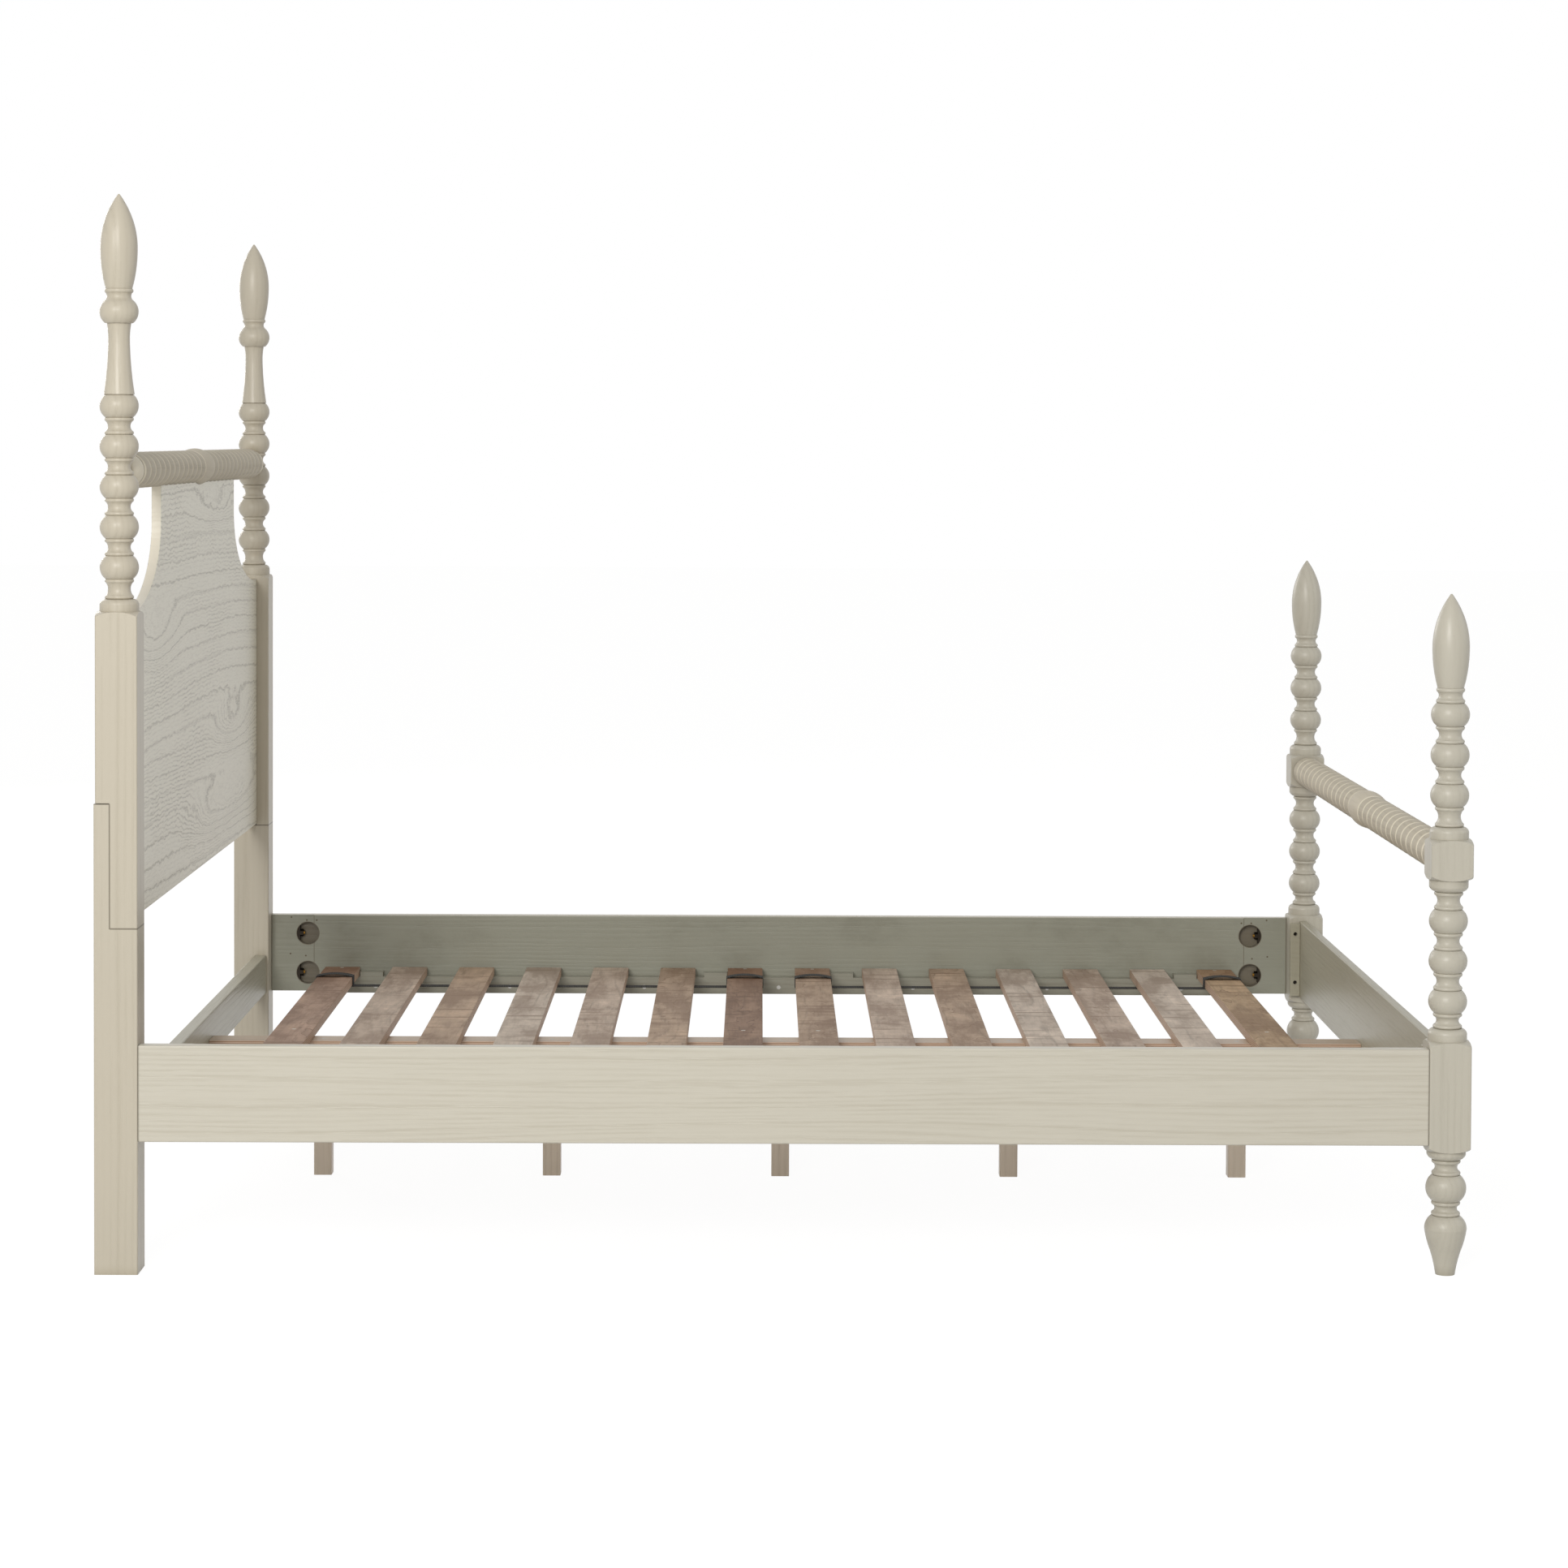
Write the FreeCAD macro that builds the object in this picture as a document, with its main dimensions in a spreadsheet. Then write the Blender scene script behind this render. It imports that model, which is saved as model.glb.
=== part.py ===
import FreeCAD, Part
import os
import re

import Sketcher
from FreeCAD import Placement, Rotation, Vector

# Spindle bed, queen size. Origin on the floor at the middle of the bed, +X towards the foot,
# +Y towards the sleeper's left, +Z up. Millimetres.

doc = FreeCAD.newDocument("spindle_bed")
sheet = doc.addObject("Spreadsheet::Sheet", "Sizes")

SIZES = [
    # overall
    ("axis_length", 2120, "head post axis to foot post axis"),
    ("axis_width", 1530, "post axis to post axis across the bed"),
    ("post_side", 67, "square of every post"),
    ("post_round", 2.5, "rounded corners of the posts"),
    ("head_tall", 1716, "top of the head finials"),
    ("foot_tall", 1090.5, "top of the foot finials"),
    ("tenon_gap", 0.2, "clearance all round a tenon, tongue or panel edge"),
    ("screw_gap", 0.1, "radial clearance of a screw or bolt in its hole"),
    # turning
    ("ball_side", 61.6, "diameter of a ball"),
    ("ball_half", 18.2, "half height of a ball"),
    ("ball_waist", 44.4, "diameter where a ball meets its bead"),
    ("bead_side", 46.2, "diameter of a bead"),
    ("bead_root", 42.4, "diameter at the foot of a bead"),
    ("bead_tall", 6.2, "height of a bead"),
    ("cove_side", 35.6, "smallest diameter of a cove"),
    ("ring_side", 62.4, "diameter of the plain ring beside a block"),
    ("ring_tall", 19, "height of that ring"),
    ("ring_crown", 8, "height of its rounded rim"),
    ("ring_round", 1.8, "bulge of that rim"),
    ("shoulder_drop", 10, "fall of a block's shoulder from face to corner"),
    ("shoulder_round", 1.5, "bulge of that shoulder"),
    ("finial_tall", 149.5, "height of a finial"),
    ("finial_side", 58.8, "largest diameter of a finial"),
    ("finial_swell", 58, "height of that diameter above the finial's base"),
    ("finial_base", 42, "diameter at the finial's base"),
    ("finial_belly", 1.9, "bulge of its outline up to the swell"),
    ("finial_flame", 8.2, "bulge of its outline from the swell to the tip"),
    ("finial_tip", 2.4, "diameter of the blunt tip"),
    ("collar_side", 45.6, "diameter of the collar under a finial"),
    ("collar_tall", 7, "height of that collar"),
    ("collar_round", 2, "bulge of that collar"),
    ("neck_hollow", 2.2, "hollow of the neck under it"),
    # head posts
    ("head_square", 1055, "top of the square section"),
    ("head_ball", 1124.4, "lowest ball"),
    ("head_pitch", 64.1, "ball to ball"),
    ("head_balls", 5, "balls between square and vase"),
    ("crown_ball", 1530, "single ball under the finial"),
    ("vase_side", 34.2, "smallest diameter of the vase"),
    ("vase_slim", 1479, "height of that diameter"),
    ("vase_top", 38.4, "diameter where the vase meets the crown ball"),
    ("vase_low", 48.8, "diameter where the vase meets the ball below"),
    ("vase_hollow", 1.3, "hollow of the vase below its slimmest"),
    ("vase_flare", 0.9, "hollow of the vase above it"),
    # lap joint of the head posts
    ("lap_low", 552, "top of the lower leg's shoulder"),
    ("lap_high", 750, "top of the lower leg's tongue"),
    ("tongue_thick", 25.5, "thickness of the tongue"),
    ("tongue_proud", 2.5, "tongue stands proud of the post's back"),
    ("lap_bolt_edge", 48, "lap bolts from the ends of the lap"),
    ("lap_sink", 9, "depth of the counterbore for a lap bolt"),
    ("lap_sink_side", 20, "diameter of that counterbore"),
    ("lap_washer_side", 18, "lap washer"),
    ("lap_washer_thick", 1.6, "lap washer"),
    ("lap_head_side", 13, "lap bolt head across its corners"),
    ("lap_head_tall", 6, "lap bolt head"),
    ("lap_insert_long", 25, "threaded insert of a lap bolt"),
    ("lap_bolt_show", 4, "lap bolt beyond its insert"),
    ("lap_gap", 0.8, "gap above the tongue"),
    # bolts
    ("bolt_side", 8, "bolts"),
    ("insert_side", 14, "threaded inserts"),
    ("insert_long", 25, "threaded inserts"),
    ("bolt_grip", 40, "length of a bed bolt inside the post"),
    ("bore_spare", 1, "bolt bores deeper than their bolts"),
    ("bolt_spacing", 79.5, "upper to lower bed bolt"),
    ("pocket_side", 45, "diameter of a bolt pocket"),
    ("pocket_reach", 73.7, "pocket centre from the post"),
    ("crescent_thick", 6.5, "half-moon washer at its middle"),
    ("crescent_set", 1, "half-moon washer behind the faces of its block"),
    ("nut_flats", 13, "bed bolt nut across its flats"),
    ("nut_thick", 6.5, "bed bolt nut"),
    ("bolt_show", 3, "bolt beyond the nut"),
    # head panel, top rail, cross rail
    ("panel_thick", 16, "panel"),
    ("panel_ahead", 1.5, "panel's middle in front of the post axis"),
    ("panel_groove", 12, "depth of the panel's groove in the posts"),
    ("panel_rise", 3, "panel's lower edge above the lap shoulder"),
    ("panel_shoulder", 1045, "lowest point of the concave cut-outs"),
    ("cutout_wide", 305, "half axis of the cut-outs across the bed"),
    ("cutout_tall", 145, "half axis of the cut-outs in height"),
    ("cutout_inset", 40, "centre of the cut-outs from the post axis"),
    ("panel_in_rail", 16, "panel's top edge let into the top rail"),
    ("head_rail_height", 1277, "axis of the head top rail"),
    ("cross_low", 214, "underside of the cross rail"),
    ("cross_tall", 76, "height of the cross rail"),
    ("cross_thick", 24, "thickness of the cross rail"),
    ("cross_set", 4.5, "cross rail behind the legs' front"),
    # ribbed rails
    ("rib_side", 59.6, "diameter of a rib"),
    ("rib_edge", 58.4, "diameter where a rib turns down"),
    ("rib_root", 52.8, "diameter between ribs"),
    ("rib_lip", 4.5, "length of a rib's rounded lips"),
    ("rib_lip_round", 1, "bulge of a lip"),
    ("head_ribs", 13, "ribs in each half of the head rail"),
    ("foot_ribs", 14, "ribs in each half of the foot rail"),
    ("barrel_side", 64, "diameter of the middle barrel"),
    ("barrel_end", 55, "diameter at the barrel's ends"),
    ("barrel_half", 54, "half length of the middle barrel"),
    ("end_ball_side", 54, "diameter of the head rail's end balls"),
    ("end_ball_long", 52, "length of those balls"),
    ("end_ball_neck", 50, "diameter where an end ball meets the ribs"),
    ("end_ball_tip", 28, "diameter of an end ball at the post"),
    ("end_ball_gap", 0.3, "end ball to the posts' balls"),
    ("spigot_side", 24, "round tenons of the ribbed rails"),
    ("spigot_long", 22, "length of a round tenon in its post"),
    # foot posts
    ("ankle_vase_side", 67.4, "foot vase"),
    ("ankle_vase", 74, "height of the vase's widest part"),
    ("ankle_vase_top", 95, "upper end of the vase"),
    ("ankle_slim_side", 48.6, "diameter where the vase turns from hollow to full"),
    ("ankle_slim", 38, "height of that diameter"),
    ("ankle_hollow", 0.9, "hollow of the vase's stem"),
    ("ankle_swell", 1.2, "bulge of the vase below its widest part"),
    ("ankle_crown", 3, "bulge of the vase above it"),
    ("foot_tread", 31, "diameter on the floor"),
    ("ankle_ball_side", 64.8, "ball above the foot vase"),
    ("ankle_ball", 139.4, "height of that ball"),
    ("ankle_ball_half", 21, "half height of that ball"),
    ("ankle_ring", 14, "height of the ring under the lower block"),
    ("lower_block_low", 199.5, "underside of the lower block"),
    ("lower_block_high", 377, "top of the lower block"),
    ("upper_block_low", 634, "underside of the upper block"),
    ("upper_block_high", 700, "top of the upper block"),
    ("foot_pitch", 64.5, "ball to ball"),
    ("mid_ball", 439, "lowest ball between the blocks"),
    ("top_ball", 769.2, "lowest ball above the upper block"),
    ("foot_balls", 3, "balls in each run"),
    # side rails and foot end rail
    ("rail_low", 212, "underside of the rails"),
    ("rail_tall", 154, "height of the rails"),
    ("rail_thick", 22, "thickness of the side rails"),
    ("rail_set", 1.5, "side rail behind the outer face of the posts"),
    ("rail_round", 2.5, "rounded long edges"),
    ("rail_gap", 0.4, "seam between rail and post"),
    ("block_long", 86, "end block"),
    ("block_deep", 16, "end block, and depth of the bolt pockets"),
    ("block_seam", 0.1, "seam between end block and plank"),
    ("end_rail_thick", 16, "foot end rail"),
    ("end_rail_back", 2, "its outer face outside the post axis"),
    ("end_tenon_thick", 9, "tenons of the end rail"),
    ("cross_tenon_thick", 12, "tenons of the cross rail"),
    ("tenon_long", 22, "tenons of the flat rails"),
    ("tenon_shoulder", 13, "shoulder above and below a tenon"),
    ("cleat_deep", 14, "cleat beside the end rail"),
    ("cleat_tall", 145, "cleat"),
    ("cleat_rise", 4.5, "cleat above the rail's underside"),
    ("cleat_round", 1.5, "rounded edges of a cleat"),
    ("cleat_screw_spacing", 97.5, "screws of a cleat"),
    ("cleat_screw_rise", 3.5, "their middle above the cleat's middle"),
    ("cleat_sink_side", 8, "counterbore in a cleat"),
    ("cleat_sink", 6, "depth of that counterbore"),
    # deck
    ("slat_pitch", 135.4, "slat to slat"),
    ("slat_wide", 70, "slat"),
    ("slat_thick", 17, "slat"),
    ("slat_round", 1.2, "rounded edges of a slat"),
    ("slat_long", 1532, "slat"),
    ("ledge_wide", 25, "ledge"),
    ("ledge_tall", 33, "ledge"),
    ("ledge_spare", 12, "ledge beyond the outer slats"),
    ("stop_long", 46, "stop block beside a tied slat"),
    ("stop_tall", 9, "stop block"),
    ("stop_gap", 1.5, "stop block to slat"),
    ("slat_screw_edge", 11, "end screws from the slat's end"),
    ("beam_wide", 54, "centre beam"),
    ("beam_thick", 18, "centre beam"),
    ("beam_gap", 0.5, "beam to the rails at its ends"),
    ("seat_wide", 100, "block under a beam end"),
    ("seat_deep", 25, "block under a beam end"),
    ("seat_screw_spacing", 70, "screws of that block"),
    ("leg_side", 32, "centre legs"),
    ("leg_edge", 234, "outer centre legs from the posts' axes"),
    # straps and wood screws
    ("strap_wide", 25, "webbing"),
    ("strap_thick", 1.2, "webbing"),
    ("strap_edge", 130, "strap's middle from the slats' ends"),
    ("strap_gap", 0.4, "webbing to the slat it wraps"),
    ("strap_arch", 5, "slack of the webbing over a slat"),
    ("screw_side", 4, "wood screws"),
    ("screw_head", 8, "head of a countersunk screw"),
    ("screw_head_tall", 2.6, "head of a countersunk screw"),
    ("slat_screw_long", 34, "slat screws"),
    ("ledge_screw_long", 40, "ledge screws"),
    ("ledge_screw_drop", 3, "ledge screws below the ledge's middle"),
    ("seat_screw_long", 34, "seat screws"),
    ("leg_screw_long", 60, "centre leg screws"),
    ("cleat_screw_long", 35, "cleat screws"),
    ("cleat_screw_head", 7.4, "head of a cleat screw"),
]

ALIASES = {name for name, number, note in SIZES}
for row, (name, number, note) in enumerate(SIZES, start=1):
    sheet.set(f"A{row}", name)
    sheet.set(f"B{row}", str(number))
    sheet.set(f"C{row}", note)
    sheet.setAlias(f"B{row}", name)
doc.recompute()


def bound(text):
    """An expression on the sheet: each alias in the text gets the sheet's name."""
    return re.sub(r"[a-z_]+", lambda word: "Sizes." + word[0] if word[0] in ALIASES else word[0], text)


def value(text):
    return float(sheet.evalExpression(bound(text)))


def count(text):
    return int(round(value(text)))


# places that several pieces share

HEAD_X = "(-axis_length / 2 + tongue_proud / 2)"
FOOT_X = "(axis_length / 2 + tongue_proud / 2)"
MID_X = "(tongue_proud / 2)"
POST_Y = "(axis_width / 2)"
HALF = "(post_side / 2)"
RAIL_INNER = "(axis_width / 2 + post_side / 2 - rail_set - rail_thick)"
RAIL_HIGH = "(rail_low + rail_tall)"
RAIL_HALF = "(axis_length / 2 - post_side / 2)"
BOLT_Y = "(axis_width / 2 + post_side / 2 - rail_set - rail_thick + block_deep / 2)"
BOLT_MID = "(rail_low + rail_tall / 2)"
LEDGE_TOP = "(rail_low + ledge_tall)"
BEAM_LOW = "(rail_low + ledge_tall - beam_thick)"
LAP_FACE = "(-post_side / 2 - tongue_proud + tongue_thick)"
PANEL_BACK = "(panel_ahead - panel_thick / 2)"
CROSS_FRONT = "(post_side / 2 - cross_set)"
END_RAIL_IN = "(end_rail_back - end_rail_thick)"
FOOT_RAIL_Z = "((upper_block_low + upper_block_high) / 2)"

DECK_SLATS = 14
ROLL = 7
TIED = (1, ROLL, ROLL + 1, DECK_SLATS)
SLAT_X = {number: f"({number - (DECK_SLATS + 1) / 2} * slat_pitch)" for number in range(1, DECK_SLATS + 1)}
LEG_X = [f"({step} / 2 * (axis_length / 2 - leg_edge))" for step in (-2, -1, 0, 1, 2)]
PAST = "1"  # cutters and hidden joints run this far past the faces that they meet


# makers

def bind(thing, **expressions):
    for name, text in expressions.items():
        thing.setExpression(name.replace("__", "."), bound(text))


def put(thing, x="0", y="0", z="0", turned=None):
    """Places a piece by bound coordinates, after a fixed rotation."""
    if turned:
        thing.Placement = Placement(Vector(), turned)
    bind(thing, Placement__Base__x=x, Placement__Base__y=y, Placement__Base__z=z)
    return thing


def box(name, first, last):
    """A block between two opposite corners given as bound coordinates, in any order."""
    thing = doc.addObject("Part::Box", name)
    bind(thing, Length=f"abs(({last[0]}) - ({first[0]}))", Width=f"abs(({last[1]}) - ({first[1]}))",
         Height=f"abs(({last[2]}) - ({first[2]}))")
    return put(thing, *[f"min({a}; {b})" for a, b in zip(first, last)])


ALONG = {
    "+X": Rotation(Vector(0, 1, 0), 90),
    "-X": Rotation(Vector(0, 1, 0), -90),
    "+Y": Rotation(Vector(1, 0, 0), -90),
    "-Y": Rotation(Vector(1, 0, 0), 90),
    "+Z": Rotation(),
    "-Z": Rotation(Vector(1, 0, 0), 180),
}
OUTWARD = {1: "+Y", -1: "-Y"}
INTO_POST = {1: "+X", -1: "-X"}


def rod(name, start, along, side, length):
    """A cylinder from a start point along an axis."""
    thing = doc.addObject("Part::Cylinder", name)
    bind(thing, Radius=f"({side}) / 2", Height=length)
    return put(thing, *start, turned=ALONG[along])


def fuse(name, pieces):
    thing = doc.addObject("Part::MultiFuse", name)
    thing.Shapes = pieces
    return thing


def group(name, pieces):
    thing = doc.addObject("Part::Compound", name)
    thing.Links = pieces
    return thing


def cut(name, base, tools):
    thing = doc.addObject("Part::Cut", name)
    thing.Base = base
    thing.Tool = tools[0] if len(tools) == 1 else group(name + "_cutters", tools)
    return thing


def screw(name, start, along, length, gap="0"):
    """A countersunk screw with its head's top at the start point, or, with a gap, the hole for it."""
    head = doc.addObject("Part::Cone", name + "_head")
    bind(head, Radius1=f"screw_head / 2 + {gap}", Radius2=f"screw_side / 2 + {gap}", Height="screw_head_tall")
    put(head, *start, turned=ALONG[along])
    shank = rod(name + "_shank", start, along, f"screw_side + 2 * {gap}", f"{length} + {gap}")
    return fuse(name, [head, shank])


def outline(body, name, plane, start, steps, shift=None):
    """A closed sketch: corners at bound places, joined by lines or by arcs of a bound height.

    A step is ("line", x, y) or ("arc", x, y, height). The height is measured from the middle of the
    chord, to the right of the way the outline runs when positive.
    """
    sketch = body.newObject("Sketcher::SketchObject", name)
    origin = [feature for feature in body.Origin.OriginFeatures if feature.Role == plane + "_Plane"]
    sketch.AttachmentSupport = (origin[0], "")
    sketch.MapMode = "FlatFace"
    if shift:
        bind(sketch, AttachmentOffset__Base__z=shift)
    corners = [start] + [step[1:3] for step in steps]
    places = [Vector(value(x), value(y), 0) for x, y in corners]
    edges = []
    for index, step in enumerate(steps):
        first, last = places[index], places[index + 1]
        if step[0] == "line":
            edges.append(Part.LineSegment(first, last))
        else:
            chord, height = last - first, value(step[3])
            crest = (first + last) / 2 + Vector(chord.y, -chord.x, 0).normalize() * height
            if height < 0:
                first, last = last, first
            edges.append(Part.ArcOfCircle(first, crest, last))
    sketch.addGeometry(edges, False)
    ends = []
    for index, edge in enumerate(sketch.Geometry):
        forward = (edge.StartPoint - places[index]).Length < (edge.EndPoint - places[index]).Length
        ends.append((1, 2) if forward else (2, 1))
    rules, texts = [], {}
    for index in range(len(steps)):
        after = (index + 1) % len(steps)
        rules.append(Sketcher.Constraint("Coincident", index, ends[index][1], after, ends[after][0]))
    for index in range(len(steps)):
        for kind, text, number in zip(("DistanceX", "DistanceY"), corners[index], places[index]):
            texts[len(rules)] = text
            rules.append(Sketcher.Constraint(kind, -1, 1, index, ends[index][0], number))
    for index, step in enumerate(steps):
        if step[0] == "arc":
            (x1, y1), (x2, y2) = corners[index], corners[index + 1]
            chord = f"((({x2}) - ({x1}))^2 + (({y2}) - ({y1}))^2)"
            radius = f"{chord} / (8 * abs({step[3]})) + abs({step[3]}) / 2"
            texts[len(rules)] = radius
            rules.append(Sketcher.Constraint("Radius", index, value(radius)))
    sketch.addConstraint(rules)
    for index, text in texts.items():
        sketch.setExpression(f"Constraints[{index}]", bound(text))
    return sketch


def spin(body, name, kind, start, steps):
    """Spins a half outline, in radius and height, about the body's vertical axis."""
    sketch = outline(body, name + "_outline", "XZ", start, steps)
    feature = body.newObject("PartDesign::" + kind, name)
    feature.Profile = sketch
    feature.ReferenceAxis = (sketch, ["V_Axis"])
    feature.Angle = 360
    return feature


def stick(body, name, plane, first, last, ends, corner):
    """A straight stick with rounded corners: a rectangle between two corners, run between two ends."""
    middle = [f"(({a}) + ({b})) / 2" for a, b in zip(first, last)]
    reach = [f"abs(({b}) - ({a})) / 2" for a, b in zip(first, last)]
    bulge = f"({corner} * {1 - 0.5 ** 0.5:.5f})"
    steps = []
    for x, y in ((1, 1), (-1, 1), (-1, -1), (1, -1)):
        upright = (f"{middle[0]} + {x} * {reach[0]}", f"{middle[1]} + {y} * ({reach[1]} - {corner})")
        level = (f"{middle[0]} + {x} * ({reach[0]} - {corner})", f"{middle[1]} + {y} * {reach[1]}")
        before, after = (upright, level) if x * y > 0 else (level, upright)
        steps += [("line",) + before, ("arc",) + after + (bulge,)]
    shift = f"-({ends[1]})" if plane == "XZ" else ends[0]
    sketch = outline(body, name + "_outline", plane, steps[-1][1:3], steps, shift)
    feature = body.newObject("PartDesign::Pad", name)
    feature.Profile = sketch
    bind(feature, Length=f"({ends[1]}) - ({ends[0]})")
    return feature


def board(name, along, first, last, corner):
    """A board between two opposite corners, its four long edges rounded."""
    body = doc.addObject("PartDesign::Body", name)
    plane, across, run = {"X": ("YZ", (1, 2), 0), "Y": ("XZ", (0, 2), 1), "Z": ("XY", (0, 1), 2)}[along]
    stick(body, name + "_stick", plane, [first[axis] for axis in across], [last[axis] for axis in across],
          (first[run], last[run]), corner)
    return body


# outlines of the turning, from the floor upwards

WAIST, ROOT, RIM = "ball_waist / 2", "bead_root / 2", "ring_side / 2"
BEAD_SWELL = "((bead_side - bead_root) / 2)"
COVE_DIP = "(-(bead_root - cove_side) / 2)"


def ball(height, side="ball_side", half="ball_half"):
    return [("arc", WAIST, f"{height} + {half}", f"(({side} - ball_waist) / 2)")]


def bead(low):
    return [("line", ROOT, low), ("arc", ROOT, f"{low} + bead_tall", BEAD_SWELL)]


def link(low, high):
    """Bead, cove and bead between two forms, up to the foot of a ball."""
    return bead(low) + [("arc", ROOT, f"{high} - bead_tall", COVE_DIP), ("arc", ROOT, high, BEAD_SWELL),
                        ("line", WAIST, high)]


def balls(first, pitch, number):
    """A run of balls with their links, from the foot of the first ball."""
    steps = ball(first)
    for index in range(1, number):
        below, above = f"{first} + {index - 1} * {pitch}", f"{first} + {index} * {pitch}"
        steps += link(f"{below} + ball_half", f"{above} - ball_half") + ball(above)
    return steps


def ring_above(face, low_ball):
    """The ring on top of a block and the link to the first ball."""
    rim = f"{face} + ring_tall"
    return [("line", RIM, face), ("line", RIM, f"{rim} - ring_crown"),
            ("arc", "bead_side / 2", rim, "ring_round")] + link(rim, low_ball)


def ring_below(low, face, tall="ring_tall"):
    """From the top of a ball over a link to the ring under a block."""
    rim = f"{face} - {tall}"
    return bead(low) + [("arc", ROOT, f"{rim} - bead_tall", COVE_DIP), ("arc", ROOT, rim, BEAD_SWELL),
                        ("arc", RIM, f"{rim} + ring_crown", "ring_round"), ("line", RIM, face),
                        ("line", "0", face)]


def finial(peak):
    """Neck, collar and the long flame-shaped finial, to the tip on the axis."""
    base = f"{peak} - finial_tall"
    return [("arc", "collar_side / 2 - collar_round", f"{base} - collar_tall", "-neck_hollow"),
            ("arc", "collar_side / 2 - collar_round", base, "collar_round"),
            ("line", "finial_base / 2", base),
            ("arc", "finial_side / 2", f"{base} + finial_swell", "finial_belly"),
            ("arc", "finial_tip / 2", peak, "finial_flame"),
            ("line", "0", peak)]


def shoulder(body, name, face, way):
    """Turns the corners of a block away at its upper (1) or lower (-1) face, which arches its sides."""
    reach = f"(post_side / sqrt(2) + {PAST})"
    steps = [("arc", reach, f"{face} - {way} * shoulder_drop", f"{-way} * shoulder_round"),
             ("line", f"{reach} + {PAST}", f"{face} - {way} * shoulder_drop"),
             ("line", f"{reach} + {PAST}", f"{face} + {way} * {PAST}"),
             ("line", RIM, f"{face} + {way} * {PAST}"),
             ("line", RIM, face)]
    return spin(body, name, "Groove", (RIM, face), steps)


def block(body, name, low, high):
    half = ("-post_side / 2", "-post_side / 2"), ("post_side / 2", "post_side / 2")
    stick(body, name, "XY", *half, (low, high), "post_round")


# mortises and bores that posts share

def face_x(end):
    """The posts' face towards the side rail, at the head (-1) or the foot (1)."""
    return f"({MID_X} + {end} * {RAIL_HALF})"


def inner_y(side):
    """The posts' face towards the other side of the bed."""
    return f"({side} * ({POST_Y} - {HALF}))"


def bolt_places(end, side):
    for place, step in (("low", -1), ("high", 1)):
        yield place, (face_x(end), f"{side} * {BOLT_Y}", f"{BOLT_MID} + {step} * bolt_spacing / 2")


def bolt_bores(name, end, side):
    """In a post: a wide bore for the threaded insert, and a narrow one on from it for the bolt's end."""
    bores = []
    for place, point in bolt_places(end, side):
        bores.append(rod(f"{name}_insert_bore_{place}", point, INTO_POST[end], "insert_side", "insert_long"))
        bores.append(rod(f"{name}_bolt_bore_{place}", point, INTO_POST[end], "bolt_side + 2 * screw_gap",
                         "bolt_grip + bore_spare"))
    return bores


def spigot_socket(name, x, side, height, reach):
    """A round mortise in a post for a ribbed rail: reach is where the tenon starts, from the axis."""
    return rod(name, (x, f"{side} * ({POST_Y} - ({reach}) - {PAST})", height), OUTWARD[side],
               "spigot_side + 2 * tenon_gap", f"{PAST} + spigot_long + tenon_gap")


def tenon(name, side, x_low, x_high, z_low, z_high, gap="0"):
    """A flat rail's tenon in a post, or, with a gap, the mortise for it."""
    return box(name, (f"{x_low} - {gap}", f"{inner_y(side)} - {side} * {PAST}", f"{z_low} - {gap}"),
               (f"{x_high} + {gap}", f"{inner_y(side)} + {side} * (tenon_long + {gap})", f"{z_high} + {gap}"))


CROSS_TENON = (f"{HEAD_X} + {CROSS_FRONT} - cross_thick / 2 - cross_tenon_thick / 2",
               f"{HEAD_X} + {CROSS_FRONT} - cross_thick / 2 + cross_tenon_thick / 2",
               "cross_low + tenon_shoulder", "cross_low + cross_tall - tenon_shoulder")
END_TENON = (f"{FOOT_X} + end_rail_back - end_rail_thick / 2 - end_tenon_thick / 2",
             f"{FOOT_X} + end_rail_back - end_rail_thick / 2 + end_tenon_thick / 2",
             "rail_low + tenon_shoulder", f"{RAIL_HIGH} - tenon_shoulder")
NAMES = {-1: "right", 1: "left"}
ENDS = {-1: "head", 1: "foot"}
nodes = []


# head posts: turned, on a square section that is rebated behind for the leg's tongue

def lap_places(side):
    for place, height in (("low", "lap_low + lap_bolt_edge"), ("high", "lap_high - lap_bolt_edge")):
        yield place, f"{side} * {POST_Y}", height


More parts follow.
